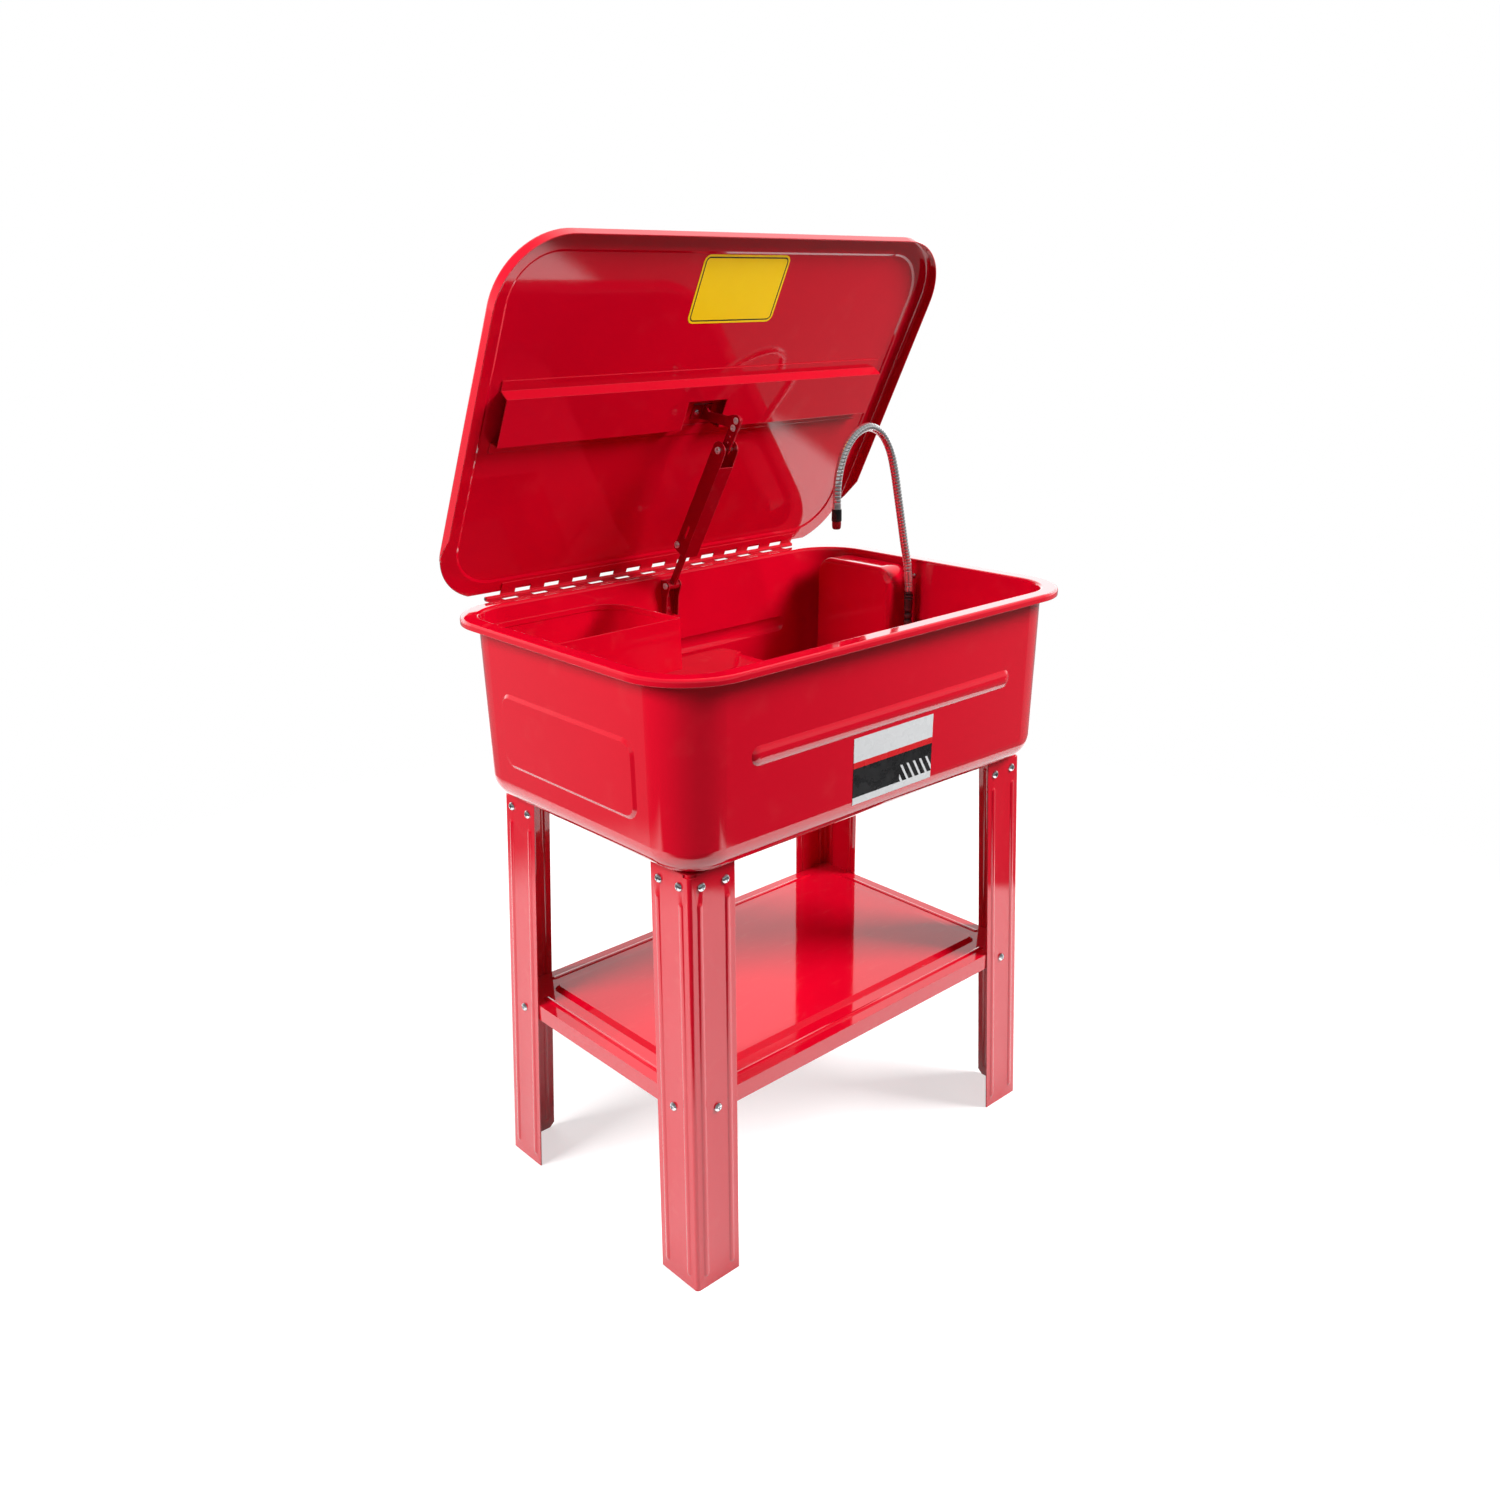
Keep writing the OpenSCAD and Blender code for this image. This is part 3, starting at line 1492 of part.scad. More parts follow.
// Ribbed tube along a route: two rings a rib outside, plain bore inside
module ribbed_tube(route, od, bore, pitch, groove, sides = 8) {
  table = run_table(route, 12);
  total = table[len(table) - 1][0];
  ribs = floor((total - 2 * od) / pitch);
  lead = (total - ribs * pitch) / 2;
  outer_s = concat(
    [0],
    [for (k = [0 : ribs - 1], h = [0.25, 0.75]) lead + (k + h) * pitch],
    [total]
  );
  outer_r = concat(
    [od / 2],
    [for (k = [0 : ribs - 1], h = [0, 1]) od / 2 - (h == 0 ? groove : 0)],
    [od / 2]
  );
  inner_n = 4 * (len(route) - 1) + 1;
  no = len(outer_s);
  pts = concat(
    [for (i = [0 : no - 1]) let (t = lookup(outer_s[i], table))
      each ring(spline(route, t), tangent(route, t), outer_r[i], sides)],
    [for (i = [0 : inner_n - 1]) let (t = i / 4)
      each ring(spline(route, t), tangent(route, t), bore / 2, sides)]
  );
  b = no * sides;
  e0 = (no - 1) * sides;
  e1 = b + (inner_n - 1) * sides;
  caps = [
    for (j = [0 : sides - 1], h = [0, 1])
      let (k = (j + 1) % sides)
      each [
        h == 0 ? [j, b + j, b + k] : [j, b + k, k],
        h == 0 ? [e0 + j, e1 + k, e1 + j] : [e0 + j, e0 + k, e1 + k]
      ]
  ];
  polyhedron(pts, concat(skin(no, sides, 0, false), skin(inner_n, sides, b, true), caps), convexity = 8);
}

module hose() {
  color(black)
    translate([spout_x, spout_y, 0])
      ribbed_tube(
        [for (k = [0 : 4]) [0, lerp(hose_z0, hose_z1, k / 4)]],
        hose_d, hose_bore, hose_pitch, hose_groove
      );
}

module hose_clamp() {
  color(zinc)
    translate([spout_x, spout_y, hose_z0 + 2]) {
      difference() {
        cylinder(h = 8, d = hose_d + 2.4);
        translate([0, 0, -1])
          cylinder(h = 10, d = hose_d + 0.3);
      }
      translate([-hose_d / 2 - 5, -3, 1])
        cube([5 - 0.6, 6, 6]);
    }
}

// Socket on top of the hose, hollowed for the ball at the neck's foot
module spout_socket() {
  color(zinc)
    translate([spout_x, spout_y, 0])
      difference() {
        translate([0, 0, hose_z1])
          cylinder(h = spout_z - seat_drop - hose_z1, d = ball_d + 3);
        translate([0, 0, spout_z])
          sphere(ball_d / 2 + ball_gap);
        translate([0, 0, hose_z1 - 1])
          cylinder(h = 40, d = neck_bore);
      }
}

module spout_ball() {
  color(zinc)
    translate([spout_x, spout_y, spout_z])
      rotate([0, -neck_lean, 0])
        difference() {
          union() {
            sphere(d = ball_d);
            cylinder(h = neck_z0, d = neck_d + 1);
          }
          translate([0, 0, -ball_d])
            cylinder(h = 3 * ball_d, d = neck_bore);
        }
}

module spout_neck() {
  color(zinc)
    translate([spout_x, spout_y, spout_z])
      ribbed_tube(neck_route, neck_d, neck_bore, neck_pitch, neck_groove);
}

module at_neck_end() {
  translate([spout_x + neck_end[0], spout_y, spout_z + neck_end[1]])
    rotate([180, 0, 0])
      children();
}

module spout_collar() {
  color(black)
    at_neck_end()
      difference() {
        cylinder(h = collar_len, d = collar_d);
        translate([0, 0, -1])
          cylinder(h = collar_len + 2, d = neck_bore);
      }
}

module spout_tip() {
  color(red)
    at_neck_end()
      translate([0, 0, collar_len])
        difference() {
          cylinder(h = tip_len, d1 = collar_d - 1.4, d2 = collar_d - 4);
          translate([0, 0, -1])
            cylinder(h = tip_len + 2, d = neck_bore - 1.5);
        }
}

module drain_bung() {
  color(red)
    translate([drain_x, 0, stand_h - 10])
      difference() {
        cylinder(h = 10, d = drain_d + 12);
        translate([0, 0, -1])
          cylinder(h = 12, d = drain_d);
      }
}

module drain_gasket() {
  color(black)
    translate([drain_x, 0, stand_h - 12])
      difference() {
        cylinder(h = 2, d = drain_d + 10);
        translate([0, 0, -1])
          cylinder(h = 4, d = drain_d);
      }
}

module drain_plug() {
  color(zinc)
    translate([drain_x, 0, stand_h - 12]) {
      translate([0, 0, -9])
        cylinder(h = 6.5, d = drain_d + 2, $fn = 6);
      translate([0, 0, -3])
        cylinder(h = 3, d = drain_d + 8);
      cylinder(h = 12, d = drain_d - 0.2);
    }
}

module cord_grommet() {
  lip = 3;
  color(black)
    at_grommet()
      difference() {
        union() {
          translate([0, 0, -lip])
            cylinder(h = lip, d = grommet_d + 6);
          cylinder(h = tank_t, d = grommet_d - 0.1);
          translate([0, 0, tank_t])
            cylinder(h = lip, d = grommet_d + 6);
        }
        translate([0, 0, -lip - 1])
          cylinder(h = 3 * lip + 3, d = grommet_d / 2);
      }
}

tub();
tub_bracket(-1, -1);  // bracket_fl
tub_bracket(1, -1);  // bracket_fr
tub_bracket(-1, 1);  // bracket_rl
tub_bracket(1, 1);  // bracket_rr
leg(-1, -1);  // leg_fl
leg(1, -1);  // leg_fr
leg(-1, 1);  // leg_rl
leg(1, 1);  // leg_rr
leg_bolts();
leg_nuts();
shelf();
shelf_bolts();
shelf_nuts();
hinge_tank_leaf();
hinge_pin();
hinge_lid_leaf();
lid();
lid_channel();
lid_bracket();
lid_bracket_bolts();
fusible_link();
link_rivets();
stay_top_pin();
stay_channel();
stay_guide_bolt();
stay_bar();
stay_foot_bracket();
stay_foot_rivets();
stay_foot_pin();
parts_tray();
work_shelf();
pump_cover();
cover_screws();
pump_body();
pump_strainer();
pump_strap();
strap_screws();
pump_elbow();
hose();
hose_clamp();
spout_socket();
spout_ball();
spout_neck();
spout_collar();
spout_tip();
drain_bung();
drain_gasket();
drain_plug();
cord_grommet();
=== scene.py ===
# Parts washer tank in red enamelled sheet steel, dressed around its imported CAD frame.
# Metres, +Z up, floor at Z = 0, front towards -Y, lid open as in the photograph.
import math

import bmesh
import bpy
from mathutils import Matrix, Vector


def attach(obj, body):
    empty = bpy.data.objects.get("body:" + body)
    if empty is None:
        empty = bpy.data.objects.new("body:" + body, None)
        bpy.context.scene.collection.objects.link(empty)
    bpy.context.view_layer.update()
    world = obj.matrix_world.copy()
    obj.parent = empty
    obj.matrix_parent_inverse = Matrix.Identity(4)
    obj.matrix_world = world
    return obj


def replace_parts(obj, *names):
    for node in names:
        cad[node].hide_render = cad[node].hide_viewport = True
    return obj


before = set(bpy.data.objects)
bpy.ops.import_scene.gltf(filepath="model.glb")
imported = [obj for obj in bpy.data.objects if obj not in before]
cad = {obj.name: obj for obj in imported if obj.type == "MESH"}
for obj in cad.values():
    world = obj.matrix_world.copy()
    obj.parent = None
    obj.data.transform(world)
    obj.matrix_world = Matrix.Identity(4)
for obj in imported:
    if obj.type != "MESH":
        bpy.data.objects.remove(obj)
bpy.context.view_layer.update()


# Legs: four bent steel angles with two pressed ribs on each flange, leaning out to the floor.
# They are powder-coated after bending, so the enamel is glossy with a fine orange peel.
# Three of them are copies with some free bottom corners left square, the other corners are cut.
def new_material(name):
    material = bpy.data.materials.new(name)
    material.use_nodes = True
    return material, material.node_tree, material.node_tree.nodes["Principled BSDF"]


def paint(material, *names):
    for name in names:
        mesh = cad[name].data
        mesh.materials.clear()
        mesh.materials.append(material)


def connect(tree, value, socket):
    """Link a socket to another node's output, or set it to a plain value."""
    if isinstance(value, bpy.types.NodeSocket):
        tree.links.new(value, socket)
    else:
        socket.default_value = value


def object_coord(tree, stretch=None):
    coord = tree.nodes.new("ShaderNodeTexCoord").outputs["Object"]
    if stretch is None:
        return coord
    place = tree.nodes.new("ShaderNodeMapping")
    place.inputs["Scale"].default_value = stretch
    tree.links.new(coord, place.inputs["Vector"])
    return place.outputs["Vector"]


def add_noise(tree, coord, scale, detail=2.0):
    noise = tree.nodes.new("ShaderNodeTexNoise")
    for name, value in (("Vector", coord), ("Scale", scale), ("Detail", detail)):
        connect(tree, value, noise.inputs[name])
    return noise.outputs["Fac"]


def add_math(tree, operation, *values):
    node = tree.nodes.new("ShaderNodeMath")
    node.operation = operation
    for socket, value in zip(node.inputs, values):
        connect(tree, value, socket)
    return node.outputs[0]


def add_mix(tree, factor, first, second):
    node = tree.nodes.new("ShaderNodeMix")
    node.data_type = "RGBA"
    for name, value in (("Factor", factor), ("A", first), ("B", second)):
        connect(tree, value, node.inputs[name])
    return node.outputs["Result"]


def add_range(tree, value, low, high, out_low=0.0, out_high=1.0):
    node = tree.nodes.new("ShaderNodeMapRange")
    node.interpolation_type = "SMOOTHSTEP"
    names = ("Value", "From Min", "From Max", "To Min", "To Max")
    for name, number in zip(names, (value, low, high, out_low, out_high)):
        connect(tree, number, node.inputs[name])
    return node.outputs["Result"]


def add_dot(tree, vector, other):
    node = tree.nodes.new("ShaderNodeVectorMath")
    node.operation = "DOT_PRODUCT"
    connect(tree, vector, node.inputs[0])
    connect(tree, other, node.inputs[1])
    return node.outputs["Value"]


def add_bump(tree, height, distance, strength=1.0):
    bump = tree.nodes.new("ShaderNodeBump")
    bump.inputs["Distance"].default_value = distance
    bump.inputs["Strength"].default_value = strength
    tree.links.new(height, bump.inputs["Height"])
    return bump


def new_group(name, inputs, outputs):
    """A shader node group with named sockets: its tree, what comes in and what goes out."""
    group = bpy.data.node_groups.new(name, "ShaderNodeTree")
    for way, sockets in (("INPUT", inputs), ("OUTPUT", outputs)):
        for socket, kind in sockets.items():
            group.interface.new_socket(socket, in_out=way, socket_type="NodeSocket" + kind)
    return group, group.nodes.new("NodeGroupInput").outputs, group.nodes.new("NodeGroupOutput").inputs


def add_group(tree, group, values):
    node = tree.nodes.new("ShaderNodeGroup")
    node.node_tree = group
    for name, value in values.items():
        connect(tree, value, node.inputs[name])
    return node.outputs


def make_enamel_skin():
    """Pigment that varies a little in depth, orange peel, sheet waviness and handling scuffs."""
    tree, given, out = new_group(
        "enamel_skin",
        {"Coord": "Vector", "Wave Height": "Float", "Scuff": "Float",
         "Scuff Scale": "Float", "Shade": "Float"},
        {"Color": "Color", "Roughness": "Float", "Height": "Float"},
    )
    coord = given["Coord"]
    deep_red, thin_red = (0.55, 0.0006, 0.0135, 1), (0.61, 0.0012, 0.017, 1)
    chalky_red, black = (0.60, 0.030, 0.036, 1), (0, 0, 0, 1)
    peel_height, scuff_dulling = 0.0000035, 0.25
    pigment = add_mix(tree, add_noise(tree, coord, 7.0, 3.0), deep_red, thin_red)
    scuff_spots = add_range(tree, add_noise(tree, coord, given["Scuff Scale"], 6.0), 0.56, 0.76)
    scuff = add_math(tree, "MULTIPLY", scuff_spots, given["Scuff"])
    painted = add_mix(tree, scuff, pigment, chalky_red)
    # Shade below 1 darkens the whole colour towards black, a painted shade.
    tree.links.new(add_mix(tree, given["Shade"], black, painted), out["Color"])
    gloss = add_range(tree, add_noise(tree, coord, 24.0, 3.0), 0.3, 0.7, 0.04, 0.08)
    dulled = add_math(tree, "ADD", gloss, add_math(tree, "MULTIPLY", scuff, scuff_dulling))
    tree.links.new(dulled, out["Roughness"])
    peel = add_math(tree, "MULTIPLY", add_noise(tree, coord, 620.0, 1.0), peel_height)
    sheet_wave = add_math(tree, "MULTIPLY", add_noise(tree, coord, 4.5, 1.0), given["Wave Height"])
    tree.links.new(add_math(tree, "ADD", peel, sheet_wave), out["Height"])
    return tree


def make_edge_wear_and_highlight():
    """A mask along a sheet's edges, where paint runs thin and a highlight is painted, and the normal that
    rounds them.
    """
    sockets = {"Radius": "Float", "Wear And Highlight": "Float"}, {"Mask": "Float", "Normal": "Vector"}
    tree, given, out = new_group("edge_wear_and_highlight", *sockets)
    rounded = tree.nodes.new("ShaderNodeBevel")
    rounded.samples = 6
    tree.links.new(given["Radius"], rounded.inputs["Radius"])
    flat_normal = tree.nodes.new("ShaderNodeNewGeometry").outputs["Normal"]
    turned = add_dot(tree, rounded.outputs["Normal"], flat_normal)
    tree.links.new(add_range(tree, turned, 0.80, 0.99, given["Wear And Highlight"], 0.0), out["Mask"])
    tree.links.new(rounded.outputs["Normal"], out["Normal"])
    return tree


enamel_skin = make_enamel_skin()
edge_wear_and_highlight = make_edge_wear_and_highlight()
edge_radius, pale_edge_and_highlight = 0.0009, (0.78, 0.07, 0.085, 1)


def enamel(name, wave_height, scuff, scuff_scale, stretch=(1.0, 1.0, 1.0), shade=1.0, wear=0.5):
    """Gloss red over sheet steel, thinner and paler where it runs off a sheet's edges, the paler edges also a
    painted highlight; a shade below 1 darkens it all as painted shade.
    """
    material, tree, shader = new_material(name)
    skin = add_group(tree, enamel_skin, {
        "Coord": object_coord(tree, stretch), "Wave Height": wave_height,
        "Scuff": scuff, "Scuff Scale": scuff_scale, "Shade": shade,
    })
    edge = add_group(tree, edge_wear_and_highlight, {"Radius": edge_radius, "Wear And Highlight": wear})
    bump = add_bump(tree, skin["Height"], 1.0)
    tree.links.new(edge["Normal"], bump.inputs["Normal"])
    # The pale edge colour is partly thin paint and partly a painted highlight along the edges.
    tree.links.new(add_mix(tree, edge["Mask"], skin["Color"], pale_edge_and_highlight), shader.inputs["Base Color"])
    tree.links.new(skin["Roughness"], shader.inputs["Roughness"])
    tree.links.new(bump.outputs["Normal"], shader.inputs["Normal"])
    shader.inputs["Coat Weight"].default_value = 0.6
    shader.inputs["Coat Roughness"].default_value = 0.02
    return material


leg_enamel = enamel("leg_enamel", 0.00012, 0.25, 40.0)
paint(leg_enamel, "leg_fl", "leg_fr", "leg_rl", "leg_rr")
leg_top = Vector((-0.308, -0.1915, 0.560))
splay, leg_sheet, corner_cut = math.radians(1.85), 0.0018, 0.0105
leg_place = Matrix.Translation(leg_top) @ Matrix.Rotation(splay, 4, "Y") @ Matrix.Rotation(-splay, 4, "X")
weld_dist, face_reach = 1e-6, 0.0002


def to_mesh(bm, name):
    mesh = bpy.data.meshes.new(name)
    bm.to_mesh(mesh)
    bm.free()
    return mesh


def finish_piece(bm, name, body, material, sharp=35.0):
    mesh = to_mesh(bm, name)
    mesh.materials.append(material)
    mesh.shade_smooth()
    mesh.set_sharp_from_angle(angle=math.radians(sharp))
    piece = bpy.data.objects.new(name, mesh)
    bpy.context.scene.collection.objects.link(piece)
    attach(piece, body)
    return piece


def square_corners(name, side_x, side_y, flanges):
    """A leg like its CAD form, with the free bottom corner of some flanges left square."""
    bm = bmesh.new()
    bm.from_mesh(cad[name].data)
    bmesh.ops.remove_doubles(bm, verts=bm.verts, dist=weld_dist)
    place = Matrix.Diagonal((side_x, side_y, 1, 1)) @ leg_place
    on_leg = place.inverted()
    width = max((on_leg @ v.co).x for v in bm.verts)
    for along, across in flanges:
        for face in (0.0, leg_sheet):
            corner = Vector((0, 0, 0))
            corner[along], corner[across] = width, face
            corner.z = (weld_dist - (place @ corner).z) / place[2][2]
            cut = []
            for v in bm.verts:
                at = on_leg @ v.co
                near_corner = at[along] > width - corner_cut and v.co.z < corner_cut
                if near_corner and abs(at[across] - face) < face_reach:
                    cut.append(v)
            bmesh.ops.pointmerge(bm, verts=cut, merge_co=place @ corner)
    bmesh.ops.dissolve_degenerate(bm, dist=weld_dist, edges=bm.edges)
    leg = finish_piece(bm, name + "_square", "stand", leg_enamel, 25)
    leg.data.attributes.remove(leg.data.attributes["custom_normal"])
    flat_faces = leg.modifiers.new("flat_faces", "WEIGHTED_NORMAL")
    flat_faces.keep_sharp = True
    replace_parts(leg, name)


front_flange, side_flange = (0, 1), (1, 0)
square_corners("leg_fl", 1, 1, (front_flange, side_flange))
square_corners("leg_fr", -1, 1, (front_flange,))
square_corners("leg_rl", 1, -1, (side_flange,))

# Angle brackets: short pressed steel angles under the tub's floor that the legs bolt to.
# They are welded to the tub and enamelled with it.
bracket_enamel = enamel("bracket_enamel", 0.00006, 0.35, 55.0)
paint(bracket_enamel, "bracket_fl", "bracket_fr", "bracket_rl", "bracket_rr")


# Leg and shelf bolts with their nuts: bright zinc-plated machine screws with a cross recess,
# domed heads outside, hexagon nuts on the threaded ends behind the flanges.
def revolve(profile, steps=32):
    """Closed surface of revolution about Z from (radius, height) points, first and last on the axis."""
    bm = bmesh.new()
    points = [bm.verts.new((r, 0.0, z)) for r, z in profile]
    edges = [bm.edges.new(pair) for pair in zip(points, points[1:])]
    full_turn = 2 * math.pi
    bmesh.ops.spin(
        bm, geom=points + edges, cent=(0, 0, 0), axis=(0, 0, 1), angle=full_turn, steps=steps, use_merge=True
    )
    bmesh.ops.remove_doubles(bm, verts=bm.verts, dist=weld_dist)
    bmesh.ops.recalc_face_normals(bm, faces=bm.faces)
    return bm


def add_copies(bm, mesh, places):
    for place in places:
        copy = mesh.copy()
        copy.transform(place)
        bm.from_mesh(copy)
        bpy.data.meshes.remove(copy)


def make_metal_wear():
    """Plating that is bright in places and dull in others, with fine scratches."""
    tree, given, out = new_group(
        "metal_wear",
        {"Coord": "Vector", "Scale": "Float", "Bright": "Color", "Dull": "Color", "Roughness": "Float"},
        {"Color": "Color", "Roughness": "Float", "Height": "Float"},
    )
    cloud = add_range(tree, add_noise(tree, given["Coord"], given["Scale"], 5.0), 0.35, 0.7)
    tree.links.new(add_mix(tree, cloud, given["Bright"], given["Dull"]), out["Color"])
    scratch_scale = add_math(tree, "MULTIPLY", given["Scale"], 6.0)
    scratch = add_noise(tree, given["Coord"], scratch_scale, 3.0)
    scratched = add_math(tree, "ADD", given["Roughness"], 0.14)
    tree.links.new(add_range(tree, scratch, 0.3, 0.75, given["Roughness"], scratched), out["Roughness"])
    tree.links.new(scratch, out["Height"])
    return tree


metal_wear = make_metal_wear()


def metal(name, bright, dull, roughness, scale, grain=(1.0, 1.0, 1.0), metallic=1.0):
    material, tree, shader = new_material(name)
    shader.inputs["Metallic"].default_value = metallic
    wear = add_group(tree, metal_wear, {
        "Coord": object_coord(tree, grain), "Scale": scale,
        "Bright": bright, "Dull": dull, "Roughness": roughness,
    })
    tree.links.new(wear["Color"], shader.inputs["Base Color"])
    tree.links.new(wear["Roughness"], shader.inputs["Roughness"])
    tree.links.new(add_bump(tree, wear["Height"], 0.00001, 0.5).outputs["Normal"], shader.inputs["Normal"])
    return material


zinc = metal("bright_zinc", (0.80, 0.81, 0.83, 1), (0.55, 0.57, 0.60, 1), 0.12, 260.0)
head_r, head_h, shank_r, thread_r, thread_pitch = 0.0057, 0.0035, 0.0029, 0.0026, 0.001
head_dome = (0, 1), (0.45, 0.97), (0.74, 0.82), (0.92, 0.55), (1, 0.2), (0.985, 0)


def screw_mesh(name, length, scale=1.0):
    """Cross-recessed pan-head screw, head below Z = 0 and thread up to length."""
    r, h = head_r * scale, head_h * scale
    profile = [(out * r, -up * h) for out, up in head_dome]
    profile.append((shank_r * scale, 0))
    turns = int(length / thread_pitch / 2)
    for k in range(turns):
        z = length - (turns - k) * thread_pitch
        profile += [(thread_r * scale, z), (shank_r * scale, z + thread_pitch / 2)]
    profile += [(thread_r * scale, length), (0, length)]
    driver_bm = bmesh.new()
    blade_size = Matrix.Diagonal((1.15 * r, 0.26 * r, 1.1 * h, 1))
    for turn in (0, math.pi / 2):
        blade = bmesh.ops.create_cube(driver_bm, size=1.0)["verts"]
        blade_place = Matrix.Rotation(turn, 4, "Z") @ Matrix.Translation((0, 0, -h)) @ blade_size
        bmesh.ops.transform(driver_bm, verts=blade, matrix=blade_place)
    screw = bpy.data.objects.new(name, to_mesh(revolve(profile, 24), name))
    driver = bpy.data.objects.new(name + "_driver", to_mesh(driver_bm, name + "_driver"))
    for shape in (driver, screw):
        bpy.context.scene.collection.objects.link(shape)
    recess = screw.modifiers.new("recess", "BOOLEAN")
    recess.object, recess.operation, recess.solver = driver, "DIFFERENCE", "EXACT"
    recess.use_self = True
    bpy.context.view_layer.update()
    done = bpy.data.meshes.new_from_object(screw.evaluated_get(bpy.context.evaluated_depsgraph_get()))
    for shape in (screw, driver):
        bpy.data.objects.remove(shape)
    return done


def nut_mesh(name):
    corner_r, height, chamfer = 0.00575, 0.0049, 0.0006
    bm = bmesh.new()
    bmesh.ops.create_cone(bm, cap_ends=True, segments=6, radius1=corner_r, radius2=corner_r, depth=height)
    rims = [e for e in bm.edges if abs(e.verts[0].co.z - e.verts[1].co.z) < weld_dist]
    bmesh.ops.bevel(bm, geom=rims, offset=chamfer, segments=2, profile=0.5, affect="EDGES", material=-1)
    bmesh.ops.translate(bm, verts=bm.verts, vec=(0, 0, height / 2))
    return to_mesh(bm, name)


def flange_places(along, down, inward):
    """Places on both flanges of every leg, with Z pointing into the leg's corner."""
    places = []
    for side_x in (1, -1):
        for side_y in (1, -1):
            flip = Matrix.Diagonal((side_x, side_y, 1, 1))
            for a in along:
                for point, axis in (((a, inward, -down), (0, 1, 0)), ((inward, a, -down), (1, 0, 0))):
                    at = flip @ leg_place @ Vector(point)
                    way = (flip.to_3x3() @ leg_place.to_3x3() @ Vector(axis)).normalized()
                    places.append(Matrix.Translation(at) @ way.to_track_quat("Z", "Y").to_matrix().to_4x4())
    return places


shelf_sheet, shelf_top, shelf_skirt, skirt_share = 0.0012, 0.262, 0.023, 0.58
top_bolts, top_drop, shelf_bolt = (0.018, 0.055), 0.0165, (0.038,)
shelf_drop = (leg_top.z - shelf_top + skirt_share * shelf_skirt) / math.cos(splay)
head_gap, shelf_nut_gap = 0.00005, 0.001
long_screw = screw_mesh("leg_screw_shape", 0.0098)
hex_nut = nut_mesh("hex_nut_shape")
leg_nut_in, shelf_nut_in = 2 * leg_sheet + head_gap, leg_sheet + shelf_sheet + shelf_nut_gap
for screws, bolts_node, nuts, nuts_node, along, drop, nut_in in (
    ("leg_screws", "leg_bolts", "leg_hex_nuts", "leg_nuts", top_bolts, top_drop, leg_nut_in),
    ("shelf_screws", "shelf_bolts", "shelf_hex_nuts", "shelf_nuts", shelf_bolt, shelf_drop, shelf_nut_in),
):
    for shape, inward, name, node in (
        (long_screw, -head_gap, screws, bolts_node),
        (hex_nut, nut_in, nuts, nuts_node),
    ):
        bm = bmesh.new()
        add_copies(bm, shape, flange_places(along, drop, inward))
        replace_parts(finish_piece(bm, name, "stand", zinc, 30), node)

# Lower shelf: one pressed steel sheet with a raised middle and beaded ledges, bolted inside the legs.
# It is enamelled, and cans slide on it, so its gloss is broken by long fine rubs.
shelf_enamel = enamel("shelf_enamel", 0.0003, 0.3, 26.0, (1.0, 3.0, 1.0))
paint(shelf_enamel, "shelf")

# Tub: one deep-drawn steel sheet with a beaded front and rear, raised end panels and a turned rim.
# The drawn walls are a little wavy, which bends the reflections in the enamel.
tub_enamel = enamel("tub_enamel", 0.0003, 0.18, 22.0)
paint(tub_enamel, "tub")


# Front decal: a plain printed foil panel on the front wall, silver with a dark band and a red edge.
# It is stuck on the drawn wall just below the bead, leans with it and follows the bend to the floor.
def verts_of(geom):
    return [g for g in geom if isinstance(g, bmesh.types.BMVert)]


def make_print_gloss():
    """Gloss of a printed film, broken a little where it was pressed on."""
    sockets = {"Coord": "Vector", "Scale": "Float", "Gloss": "Float", "Dull": "Float"}, {"Roughness": "Float"}
    tree, given, out = new_group("print_gloss", *sockets)
    pressed = add_noise(tree, given["Coord"], given["Scale"])
    tree.links.new(add_range(tree, pressed, 0.3, 0.7, given["Gloss"], given["Dull"]), out["Roughness"])
    return tree


wall_lean = math.atan(0.004 / 0.210)
bend_at, bend_r, bend_steps = Vector((0, -0.1835, 0.594)), 0.034, 6
decal_x, decal_z, decal_w, decal_h, foil_t, foil_up = 0.0066, 0.6324, 0.147, 0.0867, 0.0002, 0.00022
wall_foot = bend_at.z - bend_r * math.sin(wall_lean)
rise = (decal_z + decal_h / 2 - wall_foot) / math.cos(wall_lean)
foil_r = bend_r + foil_up
decal_line = []
for k in range(bend_steps + 1):
    turn = wall_lean + (decal_h - rise) / bend_r * k / bend_steps
    decal_line.append(bend_at + foil_r * Vector((0, -math.cos(turn), -math.sin(turn))))
decal_line.insert(0, decal_line[0] + rise * Vector((0, -math.sin(wall_lean), math.cos(wall_lean))))
decal_bm = bmesh.new()
points = [decal_bm.verts.new(p + Vector((decal_x - decal_w / 2, 0, 0))) for p in decal_line]
edges = [decal_bm.edges.new(pair) for pair in zip(points, points[1:])]
swept = bmesh.ops.extrude_edge_only(decal_bm, edges=edges)["geom"]
bmesh.ops.translate(decal_bm, verts=verts_of(swept), vec=(decal_w, 0, 0))
bmesh.ops.solidify(decal_bm, geom=decal_bm.faces[:], thickness=foil_t)
bmesh.ops.recalc_face_normals(decal_bm, faces=decal_bm.faces)
print_gloss = make_print_gloss()
decal_print, tree, shader = new_material("decal_print")
coord, spot = object_coord(tree), tree.nodes.new("ShaderNodeSeparateXYZ")
tree.links.new(coord, spot.inputs["Vector"])
across, up = spot.outputs["X"], spot.outputs["Z"]
band_top, band_low, stripe_at, stripe_half = decal_z + 0.004, decal_z - 0.034, decal_z + 0.008, 0.004
